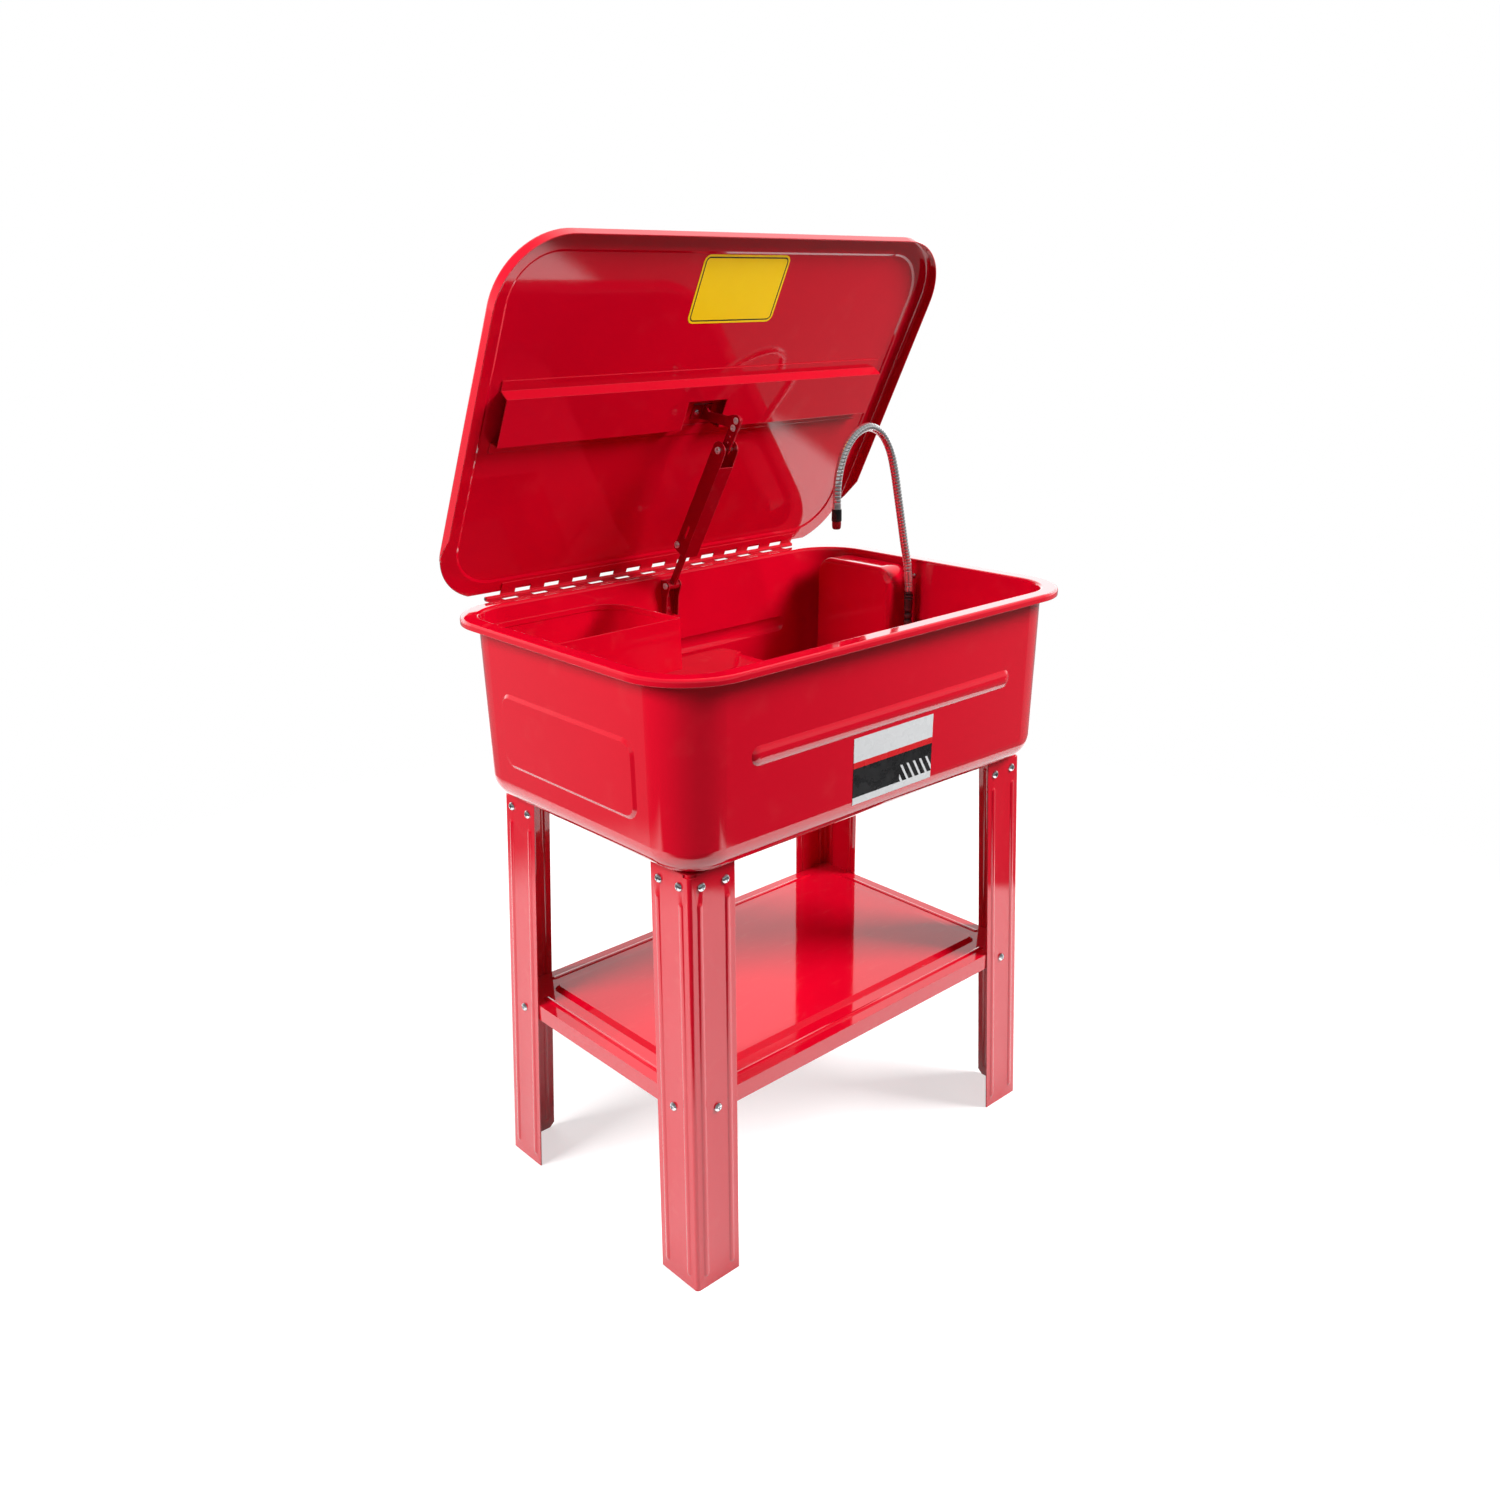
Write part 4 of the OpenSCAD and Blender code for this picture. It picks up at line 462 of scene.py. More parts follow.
bar_slant, bar_pitch, bar_width, bar_left, bar_top = 0.6, 0.012, 0.004, decal_x + 0.012, decal_z - 0.012
signal_red = (0.60, 0.012, 0.016, 1)
fleck = add_noise(tree, coord, 900.0)
foil = add_mix(tree, fleck, (0.58, 0.59, 0.60, 1), (0.64, 0.65, 0.66, 1))
ink = add_mix(tree, fleck, (0.006, 0.006, 0.007, 1), (0.010, 0.010, 0.011, 1))
band_mask = add_math(tree, "LESS_THAN", up, band_top)
band_mask = add_math(tree, "MULTIPLY", band_mask, add_math(tree, "GREATER_THAN", up, band_low))
stripe_mask = add_math(tree, "COMPARE", up, stripe_at, stripe_half)
slant = add_math(tree, "ADD", across, add_math(tree, "MULTIPLY", up, bar_slant))
bar_step = add_math(tree, "MODULO", add_math(tree, "ADD", slant, 1.0), bar_pitch)
bar_mask = add_math(tree, "LESS_THAN", bar_step, bar_width)
bar_mask = add_math(tree, "MULTIPLY", bar_mask, add_math(tree, "GREATER_THAN", across, bar_left))
bar_mask = add_math(tree, "MULTIPLY", bar_mask, add_math(tree, "LESS_THAN", up, bar_top))
printed = add_mix(tree, band_mask, foil, ink)
printed = add_mix(tree, add_math(tree, "MULTIPLY", bar_mask, band_mask), printed, foil)
printed = add_mix(tree, stripe_mask, printed, signal_red)
gloss = add_group(tree, print_gloss, {"Coord": coord, "Scale": 60.0, "Gloss": 0.22, "Dull": 0.34})
tree.links.new(printed, shader.inputs["Base Color"])
tree.links.new(gloss["Roughness"], shader.inputs["Roughness"])
finish_piece(decal_bm, "front_decal", "stand", decal_print)

# Work shelf: a bent steel sheet standing on the tub's floor, where parts are scrubbed.
# It is enamelled like the tub and rubbed the most of all pieces.
bench_enamel = enamel("bench_enamel", 0.0003, 0.45, 34.0, (2.5, 1.0, 1.0))
paint(bench_enamel, "work_shelf")

# Parts tray: a box folded from sheet steel for small parts, in the rear left corner of the tub.
# It is welded in and enamelled with the tub.
tray_enamel = enamel("tray_enamel", 0.00016, 0.3, 36.0)
paint(tray_enamel, "parts_tray")

# Pump cover: a pressed steel box on the right wall that keeps grit off the pump, open below.
# It is held by zinc-plated screws, as is the strap behind it.
cover_enamel = enamel("cover_enamel", 0.0002, 0.25, 32.0)
paint(cover_enamel, "pump_cover")
paint(zinc, "cover_screws", "strap_screws")


# Pump: a small submersible pump in moulded black plastic, hung from a zinc strap behind the cover.
# Its outlet turns up through an elbow into the hose.
def make_moulded_grain():
    """Moulded plastic or rubber: a cloudy tone and the fine grain of the mould."""
    tree, given, out = new_group(
        "moulded_grain",
        {"Coord": "Vector", "Tone": "Color", "Sheen": "Color", "Gloss": "Float", "Grain Scale": "Float"},
        {"Color": "Color", "Roughness": "Float", "Height": "Float"},
    )
    cloud = add_range(tree, add_noise(tree, given["Coord"], 30.0, 4.0), 0.3, 0.8)
    tree.links.new(add_mix(tree, cloud, given["Tone"], given["Sheen"]), out["Color"])
    grain = add_noise(tree, given["Coord"], given["Grain Scale"])
    dulled = add_math(tree, "ADD", given["Gloss"], 0.15)
    tree.links.new(add_range(tree, grain, 0.3, 0.7, given["Gloss"], dulled), out["Roughness"])
    tree.links.new(grain, out["Height"])
    return tree


moulded_grain = make_moulded_grain()


def moulded_plastic(name, tone, sheen, roughness, grain_scale):
    material, tree, shader = new_material(name)
    grain = add_group(tree, moulded_grain, {
        "Coord": object_coord(tree), "Tone": tone, "Sheen": sheen,
        "Gloss": roughness, "Grain Scale": grain_scale,
    })
    tree.links.new(grain["Color"], shader.inputs["Base Color"])
    tree.links.new(grain["Roughness"], shader.inputs["Roughness"])
    tree.links.new(add_bump(tree, grain["Height"], 0.00004, 0.6).outputs["Normal"], shader.inputs["Normal"])
    return material


pump_plastic = moulded_plastic("pump_plastic", (0.012, 0.012, 0.013, 1), (0.03, 0.03, 0.032, 1), 0.38, 900.0)
strap_zinc = metal("strap_zinc", (0.72, 0.73, 0.74, 1), (0.48, 0.49, 0.50, 1), 0.24, 140.0, (1.0, 1.0, 0.2))
paint(pump_plastic, "pump_body", "pump_strainer", "pump_elbow")
paint(strap_zinc, "pump_strap")


# Hose: black ribbed rubber from the pump's elbow up the right wall to the spout's socket.
# It is pushed on the elbow and held by a zinc-plated screw clamp.
def smooth_route(route, steps=40):
    """Points close together on a smooth curve through the points of a route."""
    last = len(route) - 1
    curve = []
    for k in range(steps * last + 1):
        i = min(k // steps, last - 1)
        u = k / steps - i
        a, b, c, d = (Vector(route[j]) for j in (max(i - 1, 0), i, i + 1, min(i + 2, last)))
        square, cube = 2 * a - 5 * b + 4 * c - d, 3 * b - a - 3 * c + d
        curve.append(0.5 * (2 * b + (c - a) * u + square * u ** 2 + cube * u ** 3))
    return curve


def ring_edges(ring):
    edges = []
    for v in ring:
        edges += [e for e in v.link_edges if e not in edges and all(w in ring for w in e.verts)]
    return edges


def ribbed_tube(route, radius_at, step, sides, bore, name, body, material):
    """Tube extruded ring by ring along a route in the plane of the spout, with a turn value on each ring."""
    curve = smooth_route(route)
    run = [0.0]
    for p, q in zip(curve, curve[1:]):
        run.append(run[-1] + (q - p).length)
    total, rings, k = run[-1], int(run[-1] / step), 0
    bm = bmesh.new()
    turn = bm.verts.layers.float.new("turn")
    ring = bmesh.ops.create_circle(bm, cap_ends=False, radius=1.0, segments=sides)["verts"]
    before, depth = None, 0.012
    for i in range(rings + 1):
        s = total * i / rings
        while k < len(run) - 2 and run[k + 1] < s:
            k += 1
        at = curve[k].lerp(curve[k + 1], (s - run[k]) / (run[k + 1] - run[k]))
        way = (curve[min(k + 3, len(curve) - 1)] - curve[max(k - 2, 0)]).normalized()
        r, crest = radius_at(s, total)
        side = way.cross(Vector((0, 1, 0))).normalized()
        axes = Matrix((side, Vector((0, 1, 0)), way)).transposed().to_4x4()
        place = Matrix.Translation(at) @ axes @ Matrix.Scale(r, 4)
        if before is None:
            bmesh.ops.transform(bm, verts=ring, matrix=place)
            first_mouth = ring_edges(ring)
        else:
            ring = verts_of(bmesh.ops.extrude_edge_only(bm, edges=ring_edges(ring))["geom"])
            bmesh.ops.transform(bm, verts=ring, matrix=place @ before.inverted())
        for v in ring:
            v[turn] = crest
        before = place
    for mouth, end, inner in ((first_mouth, 0, 1), (ring_edges(ring), -1, -2)):
        lip = verts_of(bmesh.ops.extrude_edge_only(bm, edges=mouth)["geom"])
        middle = sum((v.co for v in lip), Vector()) / len(lip)
        size = (lip[0].co - middle).length
        bmesh.ops.scale(bm, verts=lip, vec=(bore / size,) * 3, space=Matrix.Translation(-middle))
        inside = verts_of(bmesh.ops.extrude_edge_only(bm, edges=ring_edges(lip))["geom"])
        inward = (Vector(route[inner]) - Vector(route[end])).normalized()
        bmesh.ops.translate(bm, verts=inside, vec=inward * depth)
    bmesh.ops.recalc_face_normals(bm, faces=bm.faces)
    return finish_piece(bm, name, body, material, 60)


def make_rib_gloss_and_groove_shade():
    """Ribs that are bright and smooth on their crests and dull in their grooves, with painted shade darkening
    the grooves.
    """
    tree, given, out = new_group(
        "rib_gloss_and_groove_shade",
        {"Coord": "Vector", "Turn": "Float", "Speck Scale": "Float", "Crest Color": "Color",
         "Groove Shade Color": "Color", "Crest Roughness": "Float", "Groove Roughness": "Float"},
        {"Color": "Color", "Roughness": "Float"},
    )
    speck_noise = add_noise(tree, given["Coord"], given["Speck Scale"], 3.0)
    speck = add_range(tree, speck_noise, 0.35, 0.7, 0.75, 1.0)
    crest = add_math(tree, "MULTIPLY", given["Turn"], speck)
    tree.links.new(add_mix(tree, crest, given["Groove Shade Color"], given["Crest Color"]), out["Color"])
    roughness = add_range(tree, crest, 0.0, 1.0, given["Groove Roughness"], given["Crest Roughness"])
    tree.links.new(roughness, out["Roughness"])
    return tree


rib_gloss_and_groove_shade = make_rib_gloss_and_groove_shade()


def ribbed_with_groove_shade(name, crest_color, groove_shade_color, metallic, crest_roughness, groove_roughness, speck_scale):
    material, tree, shader = new_material(name)
    shader.inputs["Metallic"].default_value = metallic
    turn = tree.nodes.new("ShaderNodeAttribute")
    turn.attribute_name = "turn"
    wear = add_group(tree, rib_gloss_and_groove_shade, {
        "Coord": object_coord(tree), "Turn": turn.outputs["Fac"], "Speck Scale": speck_scale,
        "Crest Color": crest_color, "Groove Shade Color": groove_shade_color,
        "Crest Roughness": crest_roughness, "Groove Roughness": groove_roughness,
    })
    tree.links.new(wear["Color"], shader.inputs["Base Color"])
    tree.links.new(wear["Roughness"], shader.inputs["Roughness"])
    return material


spout_foot = Vector((0.31506, 0.030, 0.76529))
hose_low, hose_high, hose_r, hose_pitch, hose_groove, hose_bore = 0.643, 0.7483, 0.0065, 0.010, 0.0015, 0.0045
rib_round, plain_end = 0.6, 0.6
# The black rubber's crests are tinted red, a painted reflection of the red tub, and its grooves are darkened,
# a painted shade.
crest_with_painted_reflection, painted_groove_shade = (0.12, 0.035, 0.04, 1), (0.012, 0.004, 0.004, 1)
hose_rubber = ribbed_with_groove_shade("hose_rubber", crest_with_painted_reflection, painted_groove_shade, 0.4, 0.07, 0.35, 400.0)


def hose_rib(s, total):
    if min(s, total - s) < 2 * hose_r:
        return hose_r, plain_end
    wave = 0.5 + 0.5 * math.cos(2 * math.pi * s / hose_pitch)
    return hose_r - hose_groove * (1 - wave ** rib_round), wave


def upright_route(low, high):
    return [(spout_foot.x, spout_foot.y, low + (high - low) * k / 4) for k in range(5)]


rubber_hose = ribbed_tube(
    upright_route(hose_low, hose_high), hose_rib, hose_pitch / 8, 24, hose_bore,
    "rubber_hose", "stand", hose_rubber,
)
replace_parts(rubber_hose, "hose")
paint(zinc, "hose_clamp")

# Spout: chromed interlocked metal hose that holds its bend, turning on its rounded foot
# in a rubber socket, with a glossy black collar and a dark red nozzle pushed on its end.
# The chrome's seams between the turns are darkened, a painted shade.
bright_turn, painted_seam_shade = (0.95, 0.96, 0.97, 1), (0.16, 0.16, 0.17, 1)
neck_chrome = ribbed_with_groove_shade("neck_chrome", bright_turn, painted_seam_shade, 0.88, 0.05, 0.30, 500.0)
neck_r, neck_pitch, neck_groove, neck_step, neck_bore = 0.006, 0.005, 0.0005, 0.00012, 0.00375
neck_lean, neck_start, seam_share = math.radians(8), 0.018, 0.14
neck_bow = [
    (-0.013, 0.066), (-0.022, 0.104), (-0.031, 0.142), (-0.040, 0.178), (-0.051, 0.208),
    (-0.069, 0.231), (-0.095, 0.242), (-0.121, 0.235), (-0.141, 0.216), (-0.152, 0.192),
    (-0.157, 0.170), (-0.158, 0.153), (-0.158, 0.144), (-0.158, 0.135),
]


def neck_turn(s, total):
    if min(s, total - s) < neck_r:
        return neck_r, 1.0
    u = (s / neck_pitch) % 1.0
    crest = min(1.0, u / seam_share) * min(1.0, (1.0 - u) / seam_share)
    return neck_r - neck_groove * (1 - crest) - neck_step * u, crest


def on_lean(k):
    return (spout_foot.x - k * math.sin(neck_lean), spout_foot.y, spout_foot.z + k * math.cos(neck_lean))


neck_route = [on_lean(k) for k in (neck_start, neck_start + 0.013, neck_start + 0.022)]
neck_route += [(spout_foot.x + x, spout_foot.y, spout_foot.z + z) for x, z in neck_bow]
flexible_neck = ribbed_tube(
    neck_route, neck_turn, neck_pitch / 10, 20, neck_bore,
    "flexible_neck", "spout", neck_chrome,
)
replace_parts(flexible_neck, "spout_neck")
foot_low, ball_r, socket_top, socket_wall = -0.0062, 0.0073, 0.7577, 0.0008


def foot_turn(s, total):
    r, crest = neck_turn(s, total)
    below = min(foot_low + s, 0.0)
    return min(r, math.sqrt(ball_r ** 2 - below ** 2)), crest


foot_route = [on_lean(k) for k in (foot_low, 0.0, neck_start / 2, neck_start)]
neck_foot = ribbed_tube(
    foot_route, foot_turn, neck_pitch / 10, 20, neck_bore,
    "neck_foot", "spout", neck_chrome,
)
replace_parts(neck_foot, "spout_ball")


def socket_rib(s, total):
    wave = 0.5 + 0.5 * math.cos(4 * math.pi * s / total)
    return hose_r + socket_wall - hose_groove * (1 - wave ** rib_round), wave


ribbed_socket = ribbed_tube(
    upright_route(hose_high, socket_top), socket_rib, hose_pitch / 12, 24, 0.0040,
    "ribbed_socket", "stand", hose_rubber,
)
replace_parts(ribbed_socket, "spout_socket")
black_tone, black_sheen = (0.007, 0.007, 0.008, 1), (0.014, 0.014, 0.015, 1)
red_tone, red_sheen = (0.15, 0.003, 0.006, 1), (0.20, 0.005, 0.009, 1)
collar_gloss = moulded_plastic("collar_gloss", black_tone, black_sheen, 0.08, 500.0)
nozzle_plastic = moulded_plastic("nozzle_plastic", red_tone, red_sheen, 0.18, 700.0)
neck_end = Matrix.Translation(neck_route[-1]) @ Matrix.Rotation(math.pi, 4, "X")
collar_len, tip_end, tip_floor, tip_r, tip_bore = 0.017, 0.028, 0.022, 0.0064, 0.0030
collar_bm = revolve([
    (0, 0), (0.0063, 0), (0.0069, 0.0006), (0.0071, 0.015), (0.0069, 0.0166),
    (tip_r, collar_len), (0, collar_len),
])
tip_bm = revolve([
    (0, collar_len), (tip_r, collar_len), (tip_r, tip_floor), (0.0061, 0.0256), (0.0053, 0.0273),
    (0.0041, tip_end), (tip_bore, 0.0276), (tip_bore, tip_floor), (0, tip_floor),
])
for bm in (collar_bm, tip_bm):
    bmesh.ops.transform(bm, verts=bm.verts, matrix=neck_end)
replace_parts(finish_piece(collar_bm, "gloss_collar", "spout", collar_gloss), "spout_collar")
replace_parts(finish_piece(tip_bm, "nozzle", "spout", nozzle_plastic), "spout_tip")

# Drain: a steel bung welded under the tub's floor and enamelled with it.
# A zinc-plated hexagon plug closes it on a rubber gasket.
soft_rubber = moulded_plastic("soft_rubber", (0.010, 0.010, 0.011, 1), (0.022, 0.022, 0.023, 1), 0.5, 1200.0)
paint(bracket_enamel, "drain_bung")
paint(soft_rubber, "drain_gasket")
paint(strap_zinc, "drain_plug")

# Grommet: a soft rubber ring snapped in the hole of the right wall behind the pump,
# so that the hole's sheet edge is covered.
paint(soft_rubber, "cord_grommet")

# Hinge: two long leaves with rolled knuckles on a plain steel pin along the rear rim.
# The leaves are spot-welded to rim and lid and enamelled with them.
hinge_enamel = enamel("hinge_enamel", 0.00004, 0.3, 70.0)
hinge_steel = metal("hinge_steel", (0.45, 0.45, 0.46, 1), (0.26, 0.26, 0.27, 1), 0.28, 200.0, (0.1, 1.0, 1.0))
paint(hinge_enamel, "hinge_tank_leaf", "hinge_lid_leaf")
paint(hinge_steel, "hinge_pin")

# Lid: one wide steel sheet with a turned lip, stiffened inside by a spot-welded hat-section channel.
# The flat enamelled sheet is the waviest surface of the washer.
lid_enamel = enamel("lid_enamel", 0.00045, 0.16, 20.0)
paint(lid_enamel, "lid", "lid_channel")

# Lid label: a plain yellow vinyl label with a dark border and round corners.
# It is stuck on the lid's inner face, above the channel.
lid_open, lid_face = math.radians(63), 0.0047
hinge_axis = Vector((0, 0.24883, 0.8071))
lid_place = Matrix.Translation(hinge_axis) @ Matrix.Rotation(-lid_open, 4, "X")
label_w, label_h, label_r, label_x, label_s, label_t = 0.144, 0.090, 0.0095, 0.006, 0.427, 0.00025
border_in, border_half = 0.0036, 0.0009
label_at = Vector((label_x, -label_s, lid_face - 0.00015))
label_place = lid_place @ Matrix.Translation(label_at) @ Matrix.Rotation(math.pi, 4, "Y")
label_bm = bmesh.new()
bmesh.ops.create_cube(label_bm, size=1.0)
bmesh.ops.scale(label_bm, verts=label_bm.verts, vec=(label_w, label_h, label_t))
corners = [e for e in label_bm.edges if abs(e.verts[0].co.z - e.verts[1].co.z) > label_t / 2]
bmesh.ops.bevel(label_bm, geom=corners, offset=label_r, segments=6, profile=0.5, affect="EDGES", material=-1)
bmesh.ops.transform(label_bm, verts=label_bm.verts, matrix=label_place)
label_vinyl, tree, shader = new_material("label_vinyl")
coord, on_label = object_coord(tree), tree.nodes.new("ShaderNodeMapping")
on_label.vector_type = "TEXTURE"
on_label.inputs["Location"].default_value = lid_place @ label_at
on_label.inputs["Rotation"].default_value = (-lid_open, 0, 0)
tree.links.new(coord, on_label.inputs["Vector"])
spot = tree.nodes.new("ShaderNodeSeparateXYZ")
tree.links.new(on_label.outputs["Vector"], spot.inputs["Vector"])
past_x = add_math(tree, "SUBTRACT", add_math(tree, "ABSOLUTE", spot.outputs["X"]), label_w / 2 - label_r)
past_y = add_math(tree, "SUBTRACT", add_math(tree, "ABSOLUTE", spot.outputs["Y"]), label_h / 2 - label_r)
round_x = add_math(tree, "POWER", add_math(tree, "MAXIMUM", past_x, 0), 2)
round_y = add_math(tree, "POWER", add_math(tree, "MAXIMUM", past_y, 0), 2)
round_part = add_math(tree, "SQRT", add_math(tree, "ADD", round_x, round_y))
straight_part = add_math(tree, "MINIMUM", add_math(tree, "MAXIMUM", past_x, past_y), 0)
inset = add_math(tree, "SUBTRACT", label_r, add_math(tree, "ADD", round_part, straight_part))
border = add_math(tree, "COMPARE", inset, border_in, border_half)
deep_yellow, bright_yellow = (0.95, 0.66, 0.002, 1), (0.98, 0.70, 0.004, 1)
border_ink = (0.02, 0.018, 0.012, 1)
vinyl_tone = add_mix(tree, add_noise(tree, coord, 45.0, 4.0), deep_yellow, bright_yellow)
gloss = add_group(tree, print_gloss, {"Coord": coord, "Scale": 80.0, "Gloss": 0.28, "Dull": 0.42})
tree.links.new(add_mix(tree, border, vinyl_tone, border_ink), shader.inputs["Base Color"])
tree.links.new(gloss["Roughness"], shader.inputs["Roughness"])
finish_piece(label_bm, "lid_label", "lid", label_vinyl)

# Lid stay: an enamelled channel that slides on a bar, with a foot bracket riveted to the tub,
# and a link between channel and lid bracket that melts in a fire and lets the lid fall shut.
# The stay's enamel is darkened to 0.55 as a painted shade, and its pale edges are strengthened as a painted
# highlight.
stay_shaded_enamel = enamel("stay_shaded_enamel", 0.00004, 0.45, 80.0, shade=0.55, wear=0.9)
paint(stay_shaded_enamel, "stay_channel", "stay_foot_bracket", "stay_foot_rivets", "fusible_link", "stay_bar")
bracket_y, bracket_foot, bracket_sheet, bracket_margin = -0.255, 0.022, 0.0015, 0.007
stay_top, link_tilt = Vector((-0.235, -0.060)), math.radians(4.0)
link_t, link_len, rivet_step = 0.0025, 0.034, 0.011
stay_x, bolt_step, arm_width, end_margin, end_round = 0.004, 0.018, 0.013, 0.006, 0.005
link_way = Vector((math.cos(link_tilt), math.sin(link_tilt)))
low, high = stay_top - link_len * link_way, stay_top - (link_len + rivet_step) * link_way
under_foot, under_arm = lid_face - bracket_sheet, lid_face - arm_width
arm_line = [
    (bracket_y - bracket_foot / 2, under_foot), (bracket_y + bracket_foot / 2, under_foot),
    (bracket_y + arm_width / 2, under_arm), (low.x + end_margin, low.y + arm_width),
    (low.x + end_margin, low.y - end_margin), (high.x - end_margin, high.y - end_margin),
    (high.x - end_margin, high.y + end_margin), (low.x + end_margin - arm_width, high.y + 1.5 * arm_width),
    (bracket_y - arm_width / 2, under_arm),
]
arm_bm = bmesh.new()
arm_bm.faces.new([arm_bm.verts.new((stay_x + link_t / 2, y, z)) for y, z in arm_line])
bmesh.ops.bevel(
    arm_bm, geom=arm_bm.verts[4:7], offset=end_round, segments=5, profile=0.5, affect="VERTICES", material=-1
)
side = bmesh.ops.extrude_face_region(arm_bm, geom=arm_bm.faces[:])["geom"]
bmesh.ops.translate(arm_bm, verts=verts_of(side), vec=(2 * bracket_sheet, 0, 0))
foot = bmesh.ops.create_cube(arm_bm, size=1.0)["verts"]
foot_size = Matrix.Diagonal((bolt_step + 2 * bracket_margin, bracket_foot, bracket_sheet, 1))
foot_place = Matrix.Translation((stay_x, bracket_y, lid_face - bracket_sheet / 2))
bmesh.ops.transform(arm_bm, verts=foot, matrix=foot_place @ foot_size)
bmesh.ops.recalc_face_normals(arm_bm, faces=arm_bm.faces)
bmesh.ops.transform(arm_bm, verts=arm_bm.verts, matrix=lid_place)
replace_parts(finish_piece(arm_bm, "narrow_lid_bracket", "lid", stay_shaded_enamel), "lid_bracket")
bolt_bm, small_screw = bmesh.new(), screw_mesh("bracket_screw_shape", 0.0032, 0.7)
for k in (-0.5, 0.5):
    bolt_at = Matrix.Translation((stay_x + k * bolt_step, bracket_y, under_foot))
    add_copies(bolt_bm, small_screw, [lid_place @ bolt_at])
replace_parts(finish_piece(bolt_bm, "bracket_screws", "lid", zinc, 30), "lid_bracket_bolts")


def tube_rivet(name, head, height, shank, length):
    """Tubular rivet with a rolled head below Z = 0 round its open bore."""
    bore, bore_floor = 0.42 * head, 0.001
    profile = [
        (0, bore_floor), (bore, bore_floor), (bore, -0.6 * height), (1.15 * bore, -0.92 * height),
        (0.7 * head, -height), (0.92 * head, -0.75 * height), (head, -0.3 * height), (0.96 * head, 0),
        (shank, 0), (shank, length), (0, length),
    ]
    return to_mesh(revolve(profile, 24), name)


def along_x(x, y, z):
    return Matrix.Translation((x, y, z)) @ Matrix.Rotation(math.pi / 2, 4, "Y")


rivet_zinc = metal("rivet_zinc", (0.90, 0.91, 0.92, 1), (0.74, 0.75, 0.77, 1), 0.20, 300.0, metallic=0.5)
rivet_bm = bmesh.new()
link_rivet = tube_rivet("link_rivet_shape", 0.0046, 0.0015, 0.0022, 0.0055)
add_copies(rivet_bm, link_rivet, [lid_place @ along_x(stay_x - link_t / 2, *at) for at in (low, high)])
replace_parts(finish_piece(rivet_bm, "ring_rivets", "lid", rivet_zinc, 30), "link_rivets")
top_pin_at, guide_at = (-0.0084, 0.08868, 0.98925), (-0.0080, 0.18004, 0.85282)
foot_pin_at = (-0.0077, 0.20902, 0.78909)
for name, node, body, head, height, shank, length, at in (
    ("top_rivet", "stay_top_pin", "lid", 0.0051, 0.003, 0.003, 0.028, top_pin_at),
    ("guide_rivet", "stay_guide_bolt", "stay_arm", 0.0050, 0.0024, 0.0025, 0.026, guide_at),
    ("foot_rivet", "stay_foot_pin", "stand", 0.0048, 0.0024, 0.003, 0.0252, foot_pin_at),
):
    rivet_bm = bmesh.new()
    add_copies(rivet_bm, tube_rivet(name + "_shape", head, height, shank, length), [along_x(*at)])
    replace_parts(finish_piece(rivet_bm, name, body, rivet_zinc, 30), node)

# Studio floor: a roll of white paper under the washer, laid along the camera's view.
# The camera sees it fade into white all round, and only enamel and chrome show where the roll ends.
floor_bm = bmesh.new()
bmesh.ops.create_circle(floor_bm, cap_ends=True, radius=3.0, segments=96)
floor = bpy.data.objects.new("paper_floor", to_mesh(floor_bm, "paper_floor"))
bpy.context.scene.collection.objects.link(floor)
floor_paper, tree, shader = new_material("floor_paper")
tree.nodes.remove(shader)
paper = tree.nodes.new("ShaderNodeBsdfDiffuse")
paper.inputs["Color"].default_value = (0.48, 0.48, 0.48, 1)
glow, clear = tree.nodes.new("ShaderNodeEmission"), tree.nodes.new("ShaderNodeBsdfTransparent")
path = tree.nodes.new("ShaderNodeLightPath")
mirrored = add_math(tree, "MAXIMUM", path.outputs["Is Glossy Ray"], path.outputs["Is Transmission Ray"])
seen = add_math(tree, "MULTIPLY", path.outputs["Is Camera Ray"], 0.61)
coord, spot = object_coord(tree), tree.nodes.new("ShaderNodeSeparateXYZ")
tree.links.new(coord, spot.inputs["Vector"])
# The glow that enamel and chrome mirror is turned down under the washer, a painted shadow on the paper.
under_x, under_y = 0.34, 0.24
aside_x = add_math(tree, "DIVIDE", add_math(tree, "ABSOLUTE", spot.outputs["X"]), under_x)
aside_y = add_math(tree, "DIVIDE", add_math(tree, "ABSOLUTE", spot.outputs["Y"]), under_y)
mirror_glow_painted_shadow = add_range(tree, add_math(tree, "MAXIMUM", aside_x, aside_y), 0.6, 1.15, 0.15, 0.85)
level = add_math(tree, "ADD", seen, add_math(tree, "MULTIPLY", mirrored, mirror_glow_painted_shadow))
tree.links.new(level, glow.inputs["Strength"])
roll_left, roll_right, roll_front, fade_start, fade_end = -1.25, 1.17, -0.74, 1.25, 1.85
lateral = add_dot(tree, coord, (0.741, -0.671, 0))
forward = add_dot(tree, coord, (0.671, 0.741, 0))
distance = tree.nodes.new("ShaderNodeVectorMath")
distance.operation = "LENGTH"
tree.links.new(coord, distance.inputs[0])
beyond_left = add_range(tree, lateral, roll_left - 0.35, roll_left, 1.0, 0.0)
beyond_right = add_range(tree, lateral, roll_right, roll_right + 0.07)
before_front = add_range(tree, forward, roll_front - 0.25, roll_front, 1.0, 0.0)
off_roll = add_math(tree, "MAXIMUM", add_math(tree, "MAXIMUM", beyond_left, beyond_right), before_front)
off_roll = add_math(tree, "MULTIPLY", off_roll, mirrored)
far = add_range(tree, distance.outputs["Value"], fade_start, fade_end)
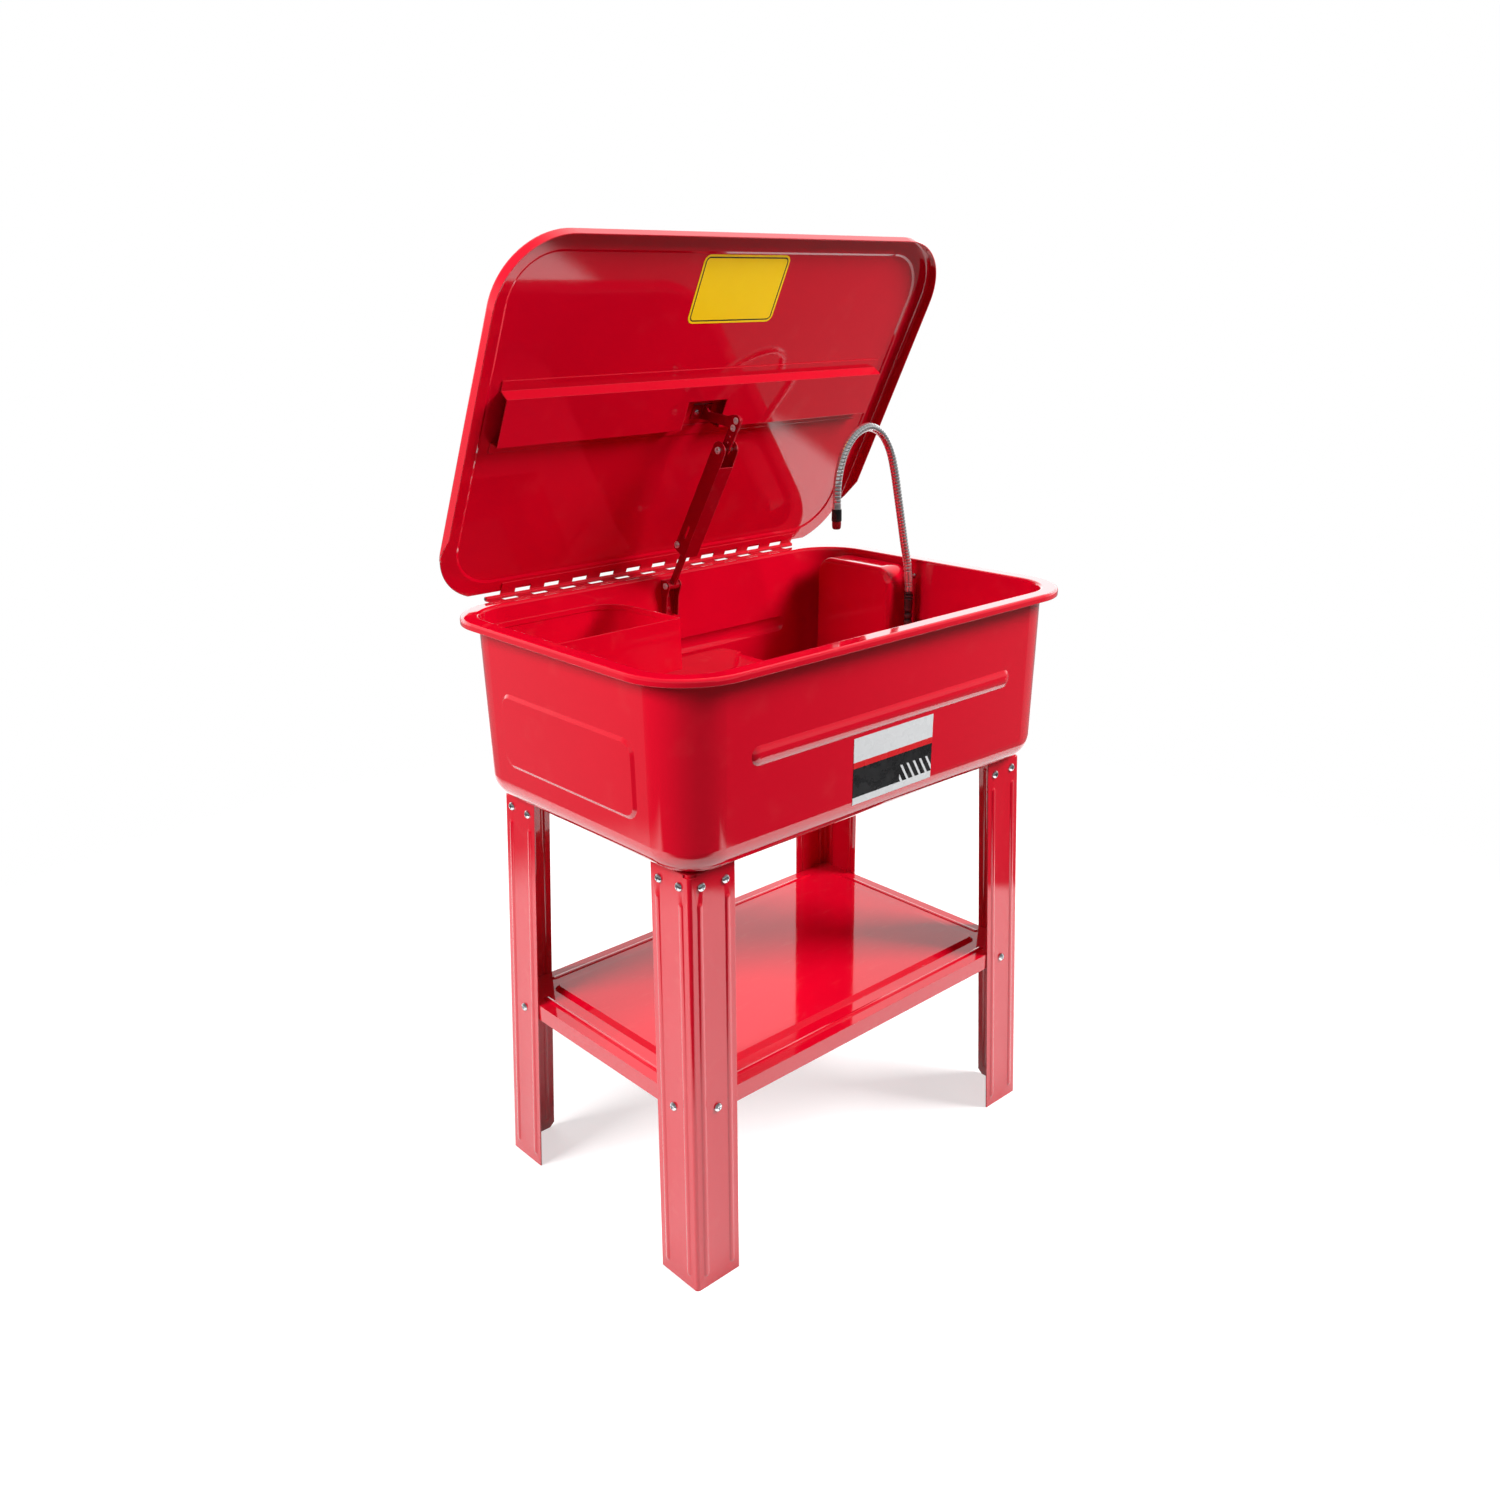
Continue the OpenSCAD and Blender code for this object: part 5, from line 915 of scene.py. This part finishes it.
far = add_math(tree, "MULTIPLY", far, add_math(tree, "SUBTRACT", 1.0, mirrored))
both, fade = tree.nodes.new("ShaderNodeAddShader"), tree.nodes.new("ShaderNodeMixShader")
tree.links.new(paper.outputs[0], both.inputs[0])
tree.links.new(glow.outputs[0], both.inputs[1])
tree.links.new(add_math(tree, "ADD", far, off_roll), fade.inputs["Fac"])
tree.links.new(both.outputs[0], fade.inputs[1])
tree.links.new(clear.outputs[0], fade.inputs[2])
tree.links.new(fade.outputs[0], tree.nodes["Material Output"].inputs["Surface"])
floor.data.materials.append(floor_paper)


# Studio backdrop: white behind the washer and dark behind the camera, which enamel and chrome mirror.
# Each soft box has a mild glow in it, since the lamps themselves would burn out in them.
def add_blend(tree, factor, first, second):
    node = tree.nodes.new("ShaderNodeMix")
    for name, value in (("Factor", factor), ("A", first), ("B", second)):
        connect(tree, value, node.inputs[name])
    return node.outputs["Result"]


world = bpy.data.worlds.new("studio")
bpy.context.scene.world = world
world.use_nodes = True
tree = world.node_tree
path = tree.nodes.new("ShaderNodeLightPath")
direction = tree.nodes.new("ShaderNodeTexCoord").outputs["Generated"]
spot = tree.nodes.new("ShaderNodeSeparateXYZ")
tree.links.new(direction, spot.inputs["Vector"])
upwards = spot.outputs["Z"]
towards_backdrop = add_dot(tree, direction, (0.672, 0.741, 0.0))
backdrop = add_range(tree, towards_backdrop, 0.1, 0.7, 0.22, 1.0)
backdrop = add_math(tree, "MULTIPLY", backdrop, add_range(tree, upwards, 0.22, 0.50, 1.9, 0.95))
first_mirror = add_math(tree, "LESS_THAN", path.outputs["Ray Depth"], 1.5)
for lamp_way in ((-0.857, 0.034, 0.514), (0.430, -0.603, 0.672)):
    lamp_glow = add_range(tree, add_dot(tree, direction, lamp_way), 0.86, 0.95, 0.0, 1.7)
    backdrop = add_math(tree, "MAXIMUM", backdrop, add_math(tree, "MULTIPLY", lamp_glow, first_mirror))
dark_floor = add_range(tree, towards_backdrop, -0.1, 0.4, 0.06, 0.30)
surround = add_blend(tree, add_range(tree, upwards, -0.03, 0.03), dark_floor, backdrop)
mirrored = add_math(tree, "MAXIMUM", path.outputs["Is Glossy Ray"], path.outputs["Is Transmission Ray"])
fill_level, seen_level = 0.08, 1.0
level = add_blend(tree, mirrored, fill_level, surround)
level = add_blend(tree, path.outputs["Is Camera Ray"], level, seen_level)
tree.links.new(level, tree.nodes["Background"].inputs["Strength"])
tree.nodes["Background"].inputs["Color"].default_value = (1, 1, 1, 1)


# Studio lamps: two soft boxes as the main light, a weak one above and a low fill behind.
# They light the washer only, and the camera and the mirroring enamel don't see them.
def soft_box(name, at, look_at, size, power):
    lamp = bpy.data.lights.new(name, "AREA")
    lamp.shape, lamp.size, lamp.size_y, lamp.energy = "RECTANGLE", size, size, power
    box = bpy.data.objects.new(name, lamp)
    box.location = at
    box.rotation_euler = (Vector(look_at) - Vector(at)).to_track_quat("-Z", "Y").to_euler()
    bpy.context.scene.collection.objects.link(box)
    box.visible_camera = box.visible_glossy = False


middle = (0, 0, 0.7)
soft_box("key_left", (-2.45, 0.4, 2.1), middle, 1.3, 110)
soft_box("key_right", (1.9, -1.9, 2.6), middle, 1.3, 174)
soft_box("top_light", (-0.6, -0.8, 3.0), middle, 1.4, 8)
soft_box("back_fill", (0.3, 2.4, 1.3), (0, 0.1, 0.8), 1.6, 24)

# Camera: stands where the photograph's did, solved from its feet, bolts, rim and lid.
# Lens and shift give the photograph's square frame.
camera_at = Vector((-1.1748, -1.2482, 1.1867))
yaw, pitch, roll = (math.radians(a) for a in (42.18, 19.30, -0.59))
look = Vector((math.sin(yaw) * math.cos(pitch), math.cos(yaw) * math.cos(pitch), -math.sin(pitch)))
right = Vector((math.cos(yaw), -math.sin(yaw), 0))
above = right.cross(look)
turned_right = math.cos(roll) * right + math.sin(roll) * above
turned_above = -math.sin(roll) * right + math.cos(roll) * above
lens = bpy.data.cameras.new("photo_camera")
camera = bpy.data.objects.new("photo_camera", lens)
bpy.context.scene.collection.objects.link(camera)
camera_axes = Matrix((turned_right, turned_above, -look)).transposed().to_4x4()
camera.matrix_world = Matrix.Translation(camera_at) @ camera_axes
frame_px, focal_px, axis_px = 1500, 1318.0, (746.7, 753.3)
lens.sensor_width = 36.0
lens.lens = focal_px / frame_px * lens.sensor_width
lens.shift_x = (frame_px / 2 - axis_px[0]) / frame_px
lens.shift_y = (axis_px[1] - frame_px / 2) / frame_px
bpy.context.scene.camera = camera
bpy.context.scene.view_settings.view_transform = "Standard"
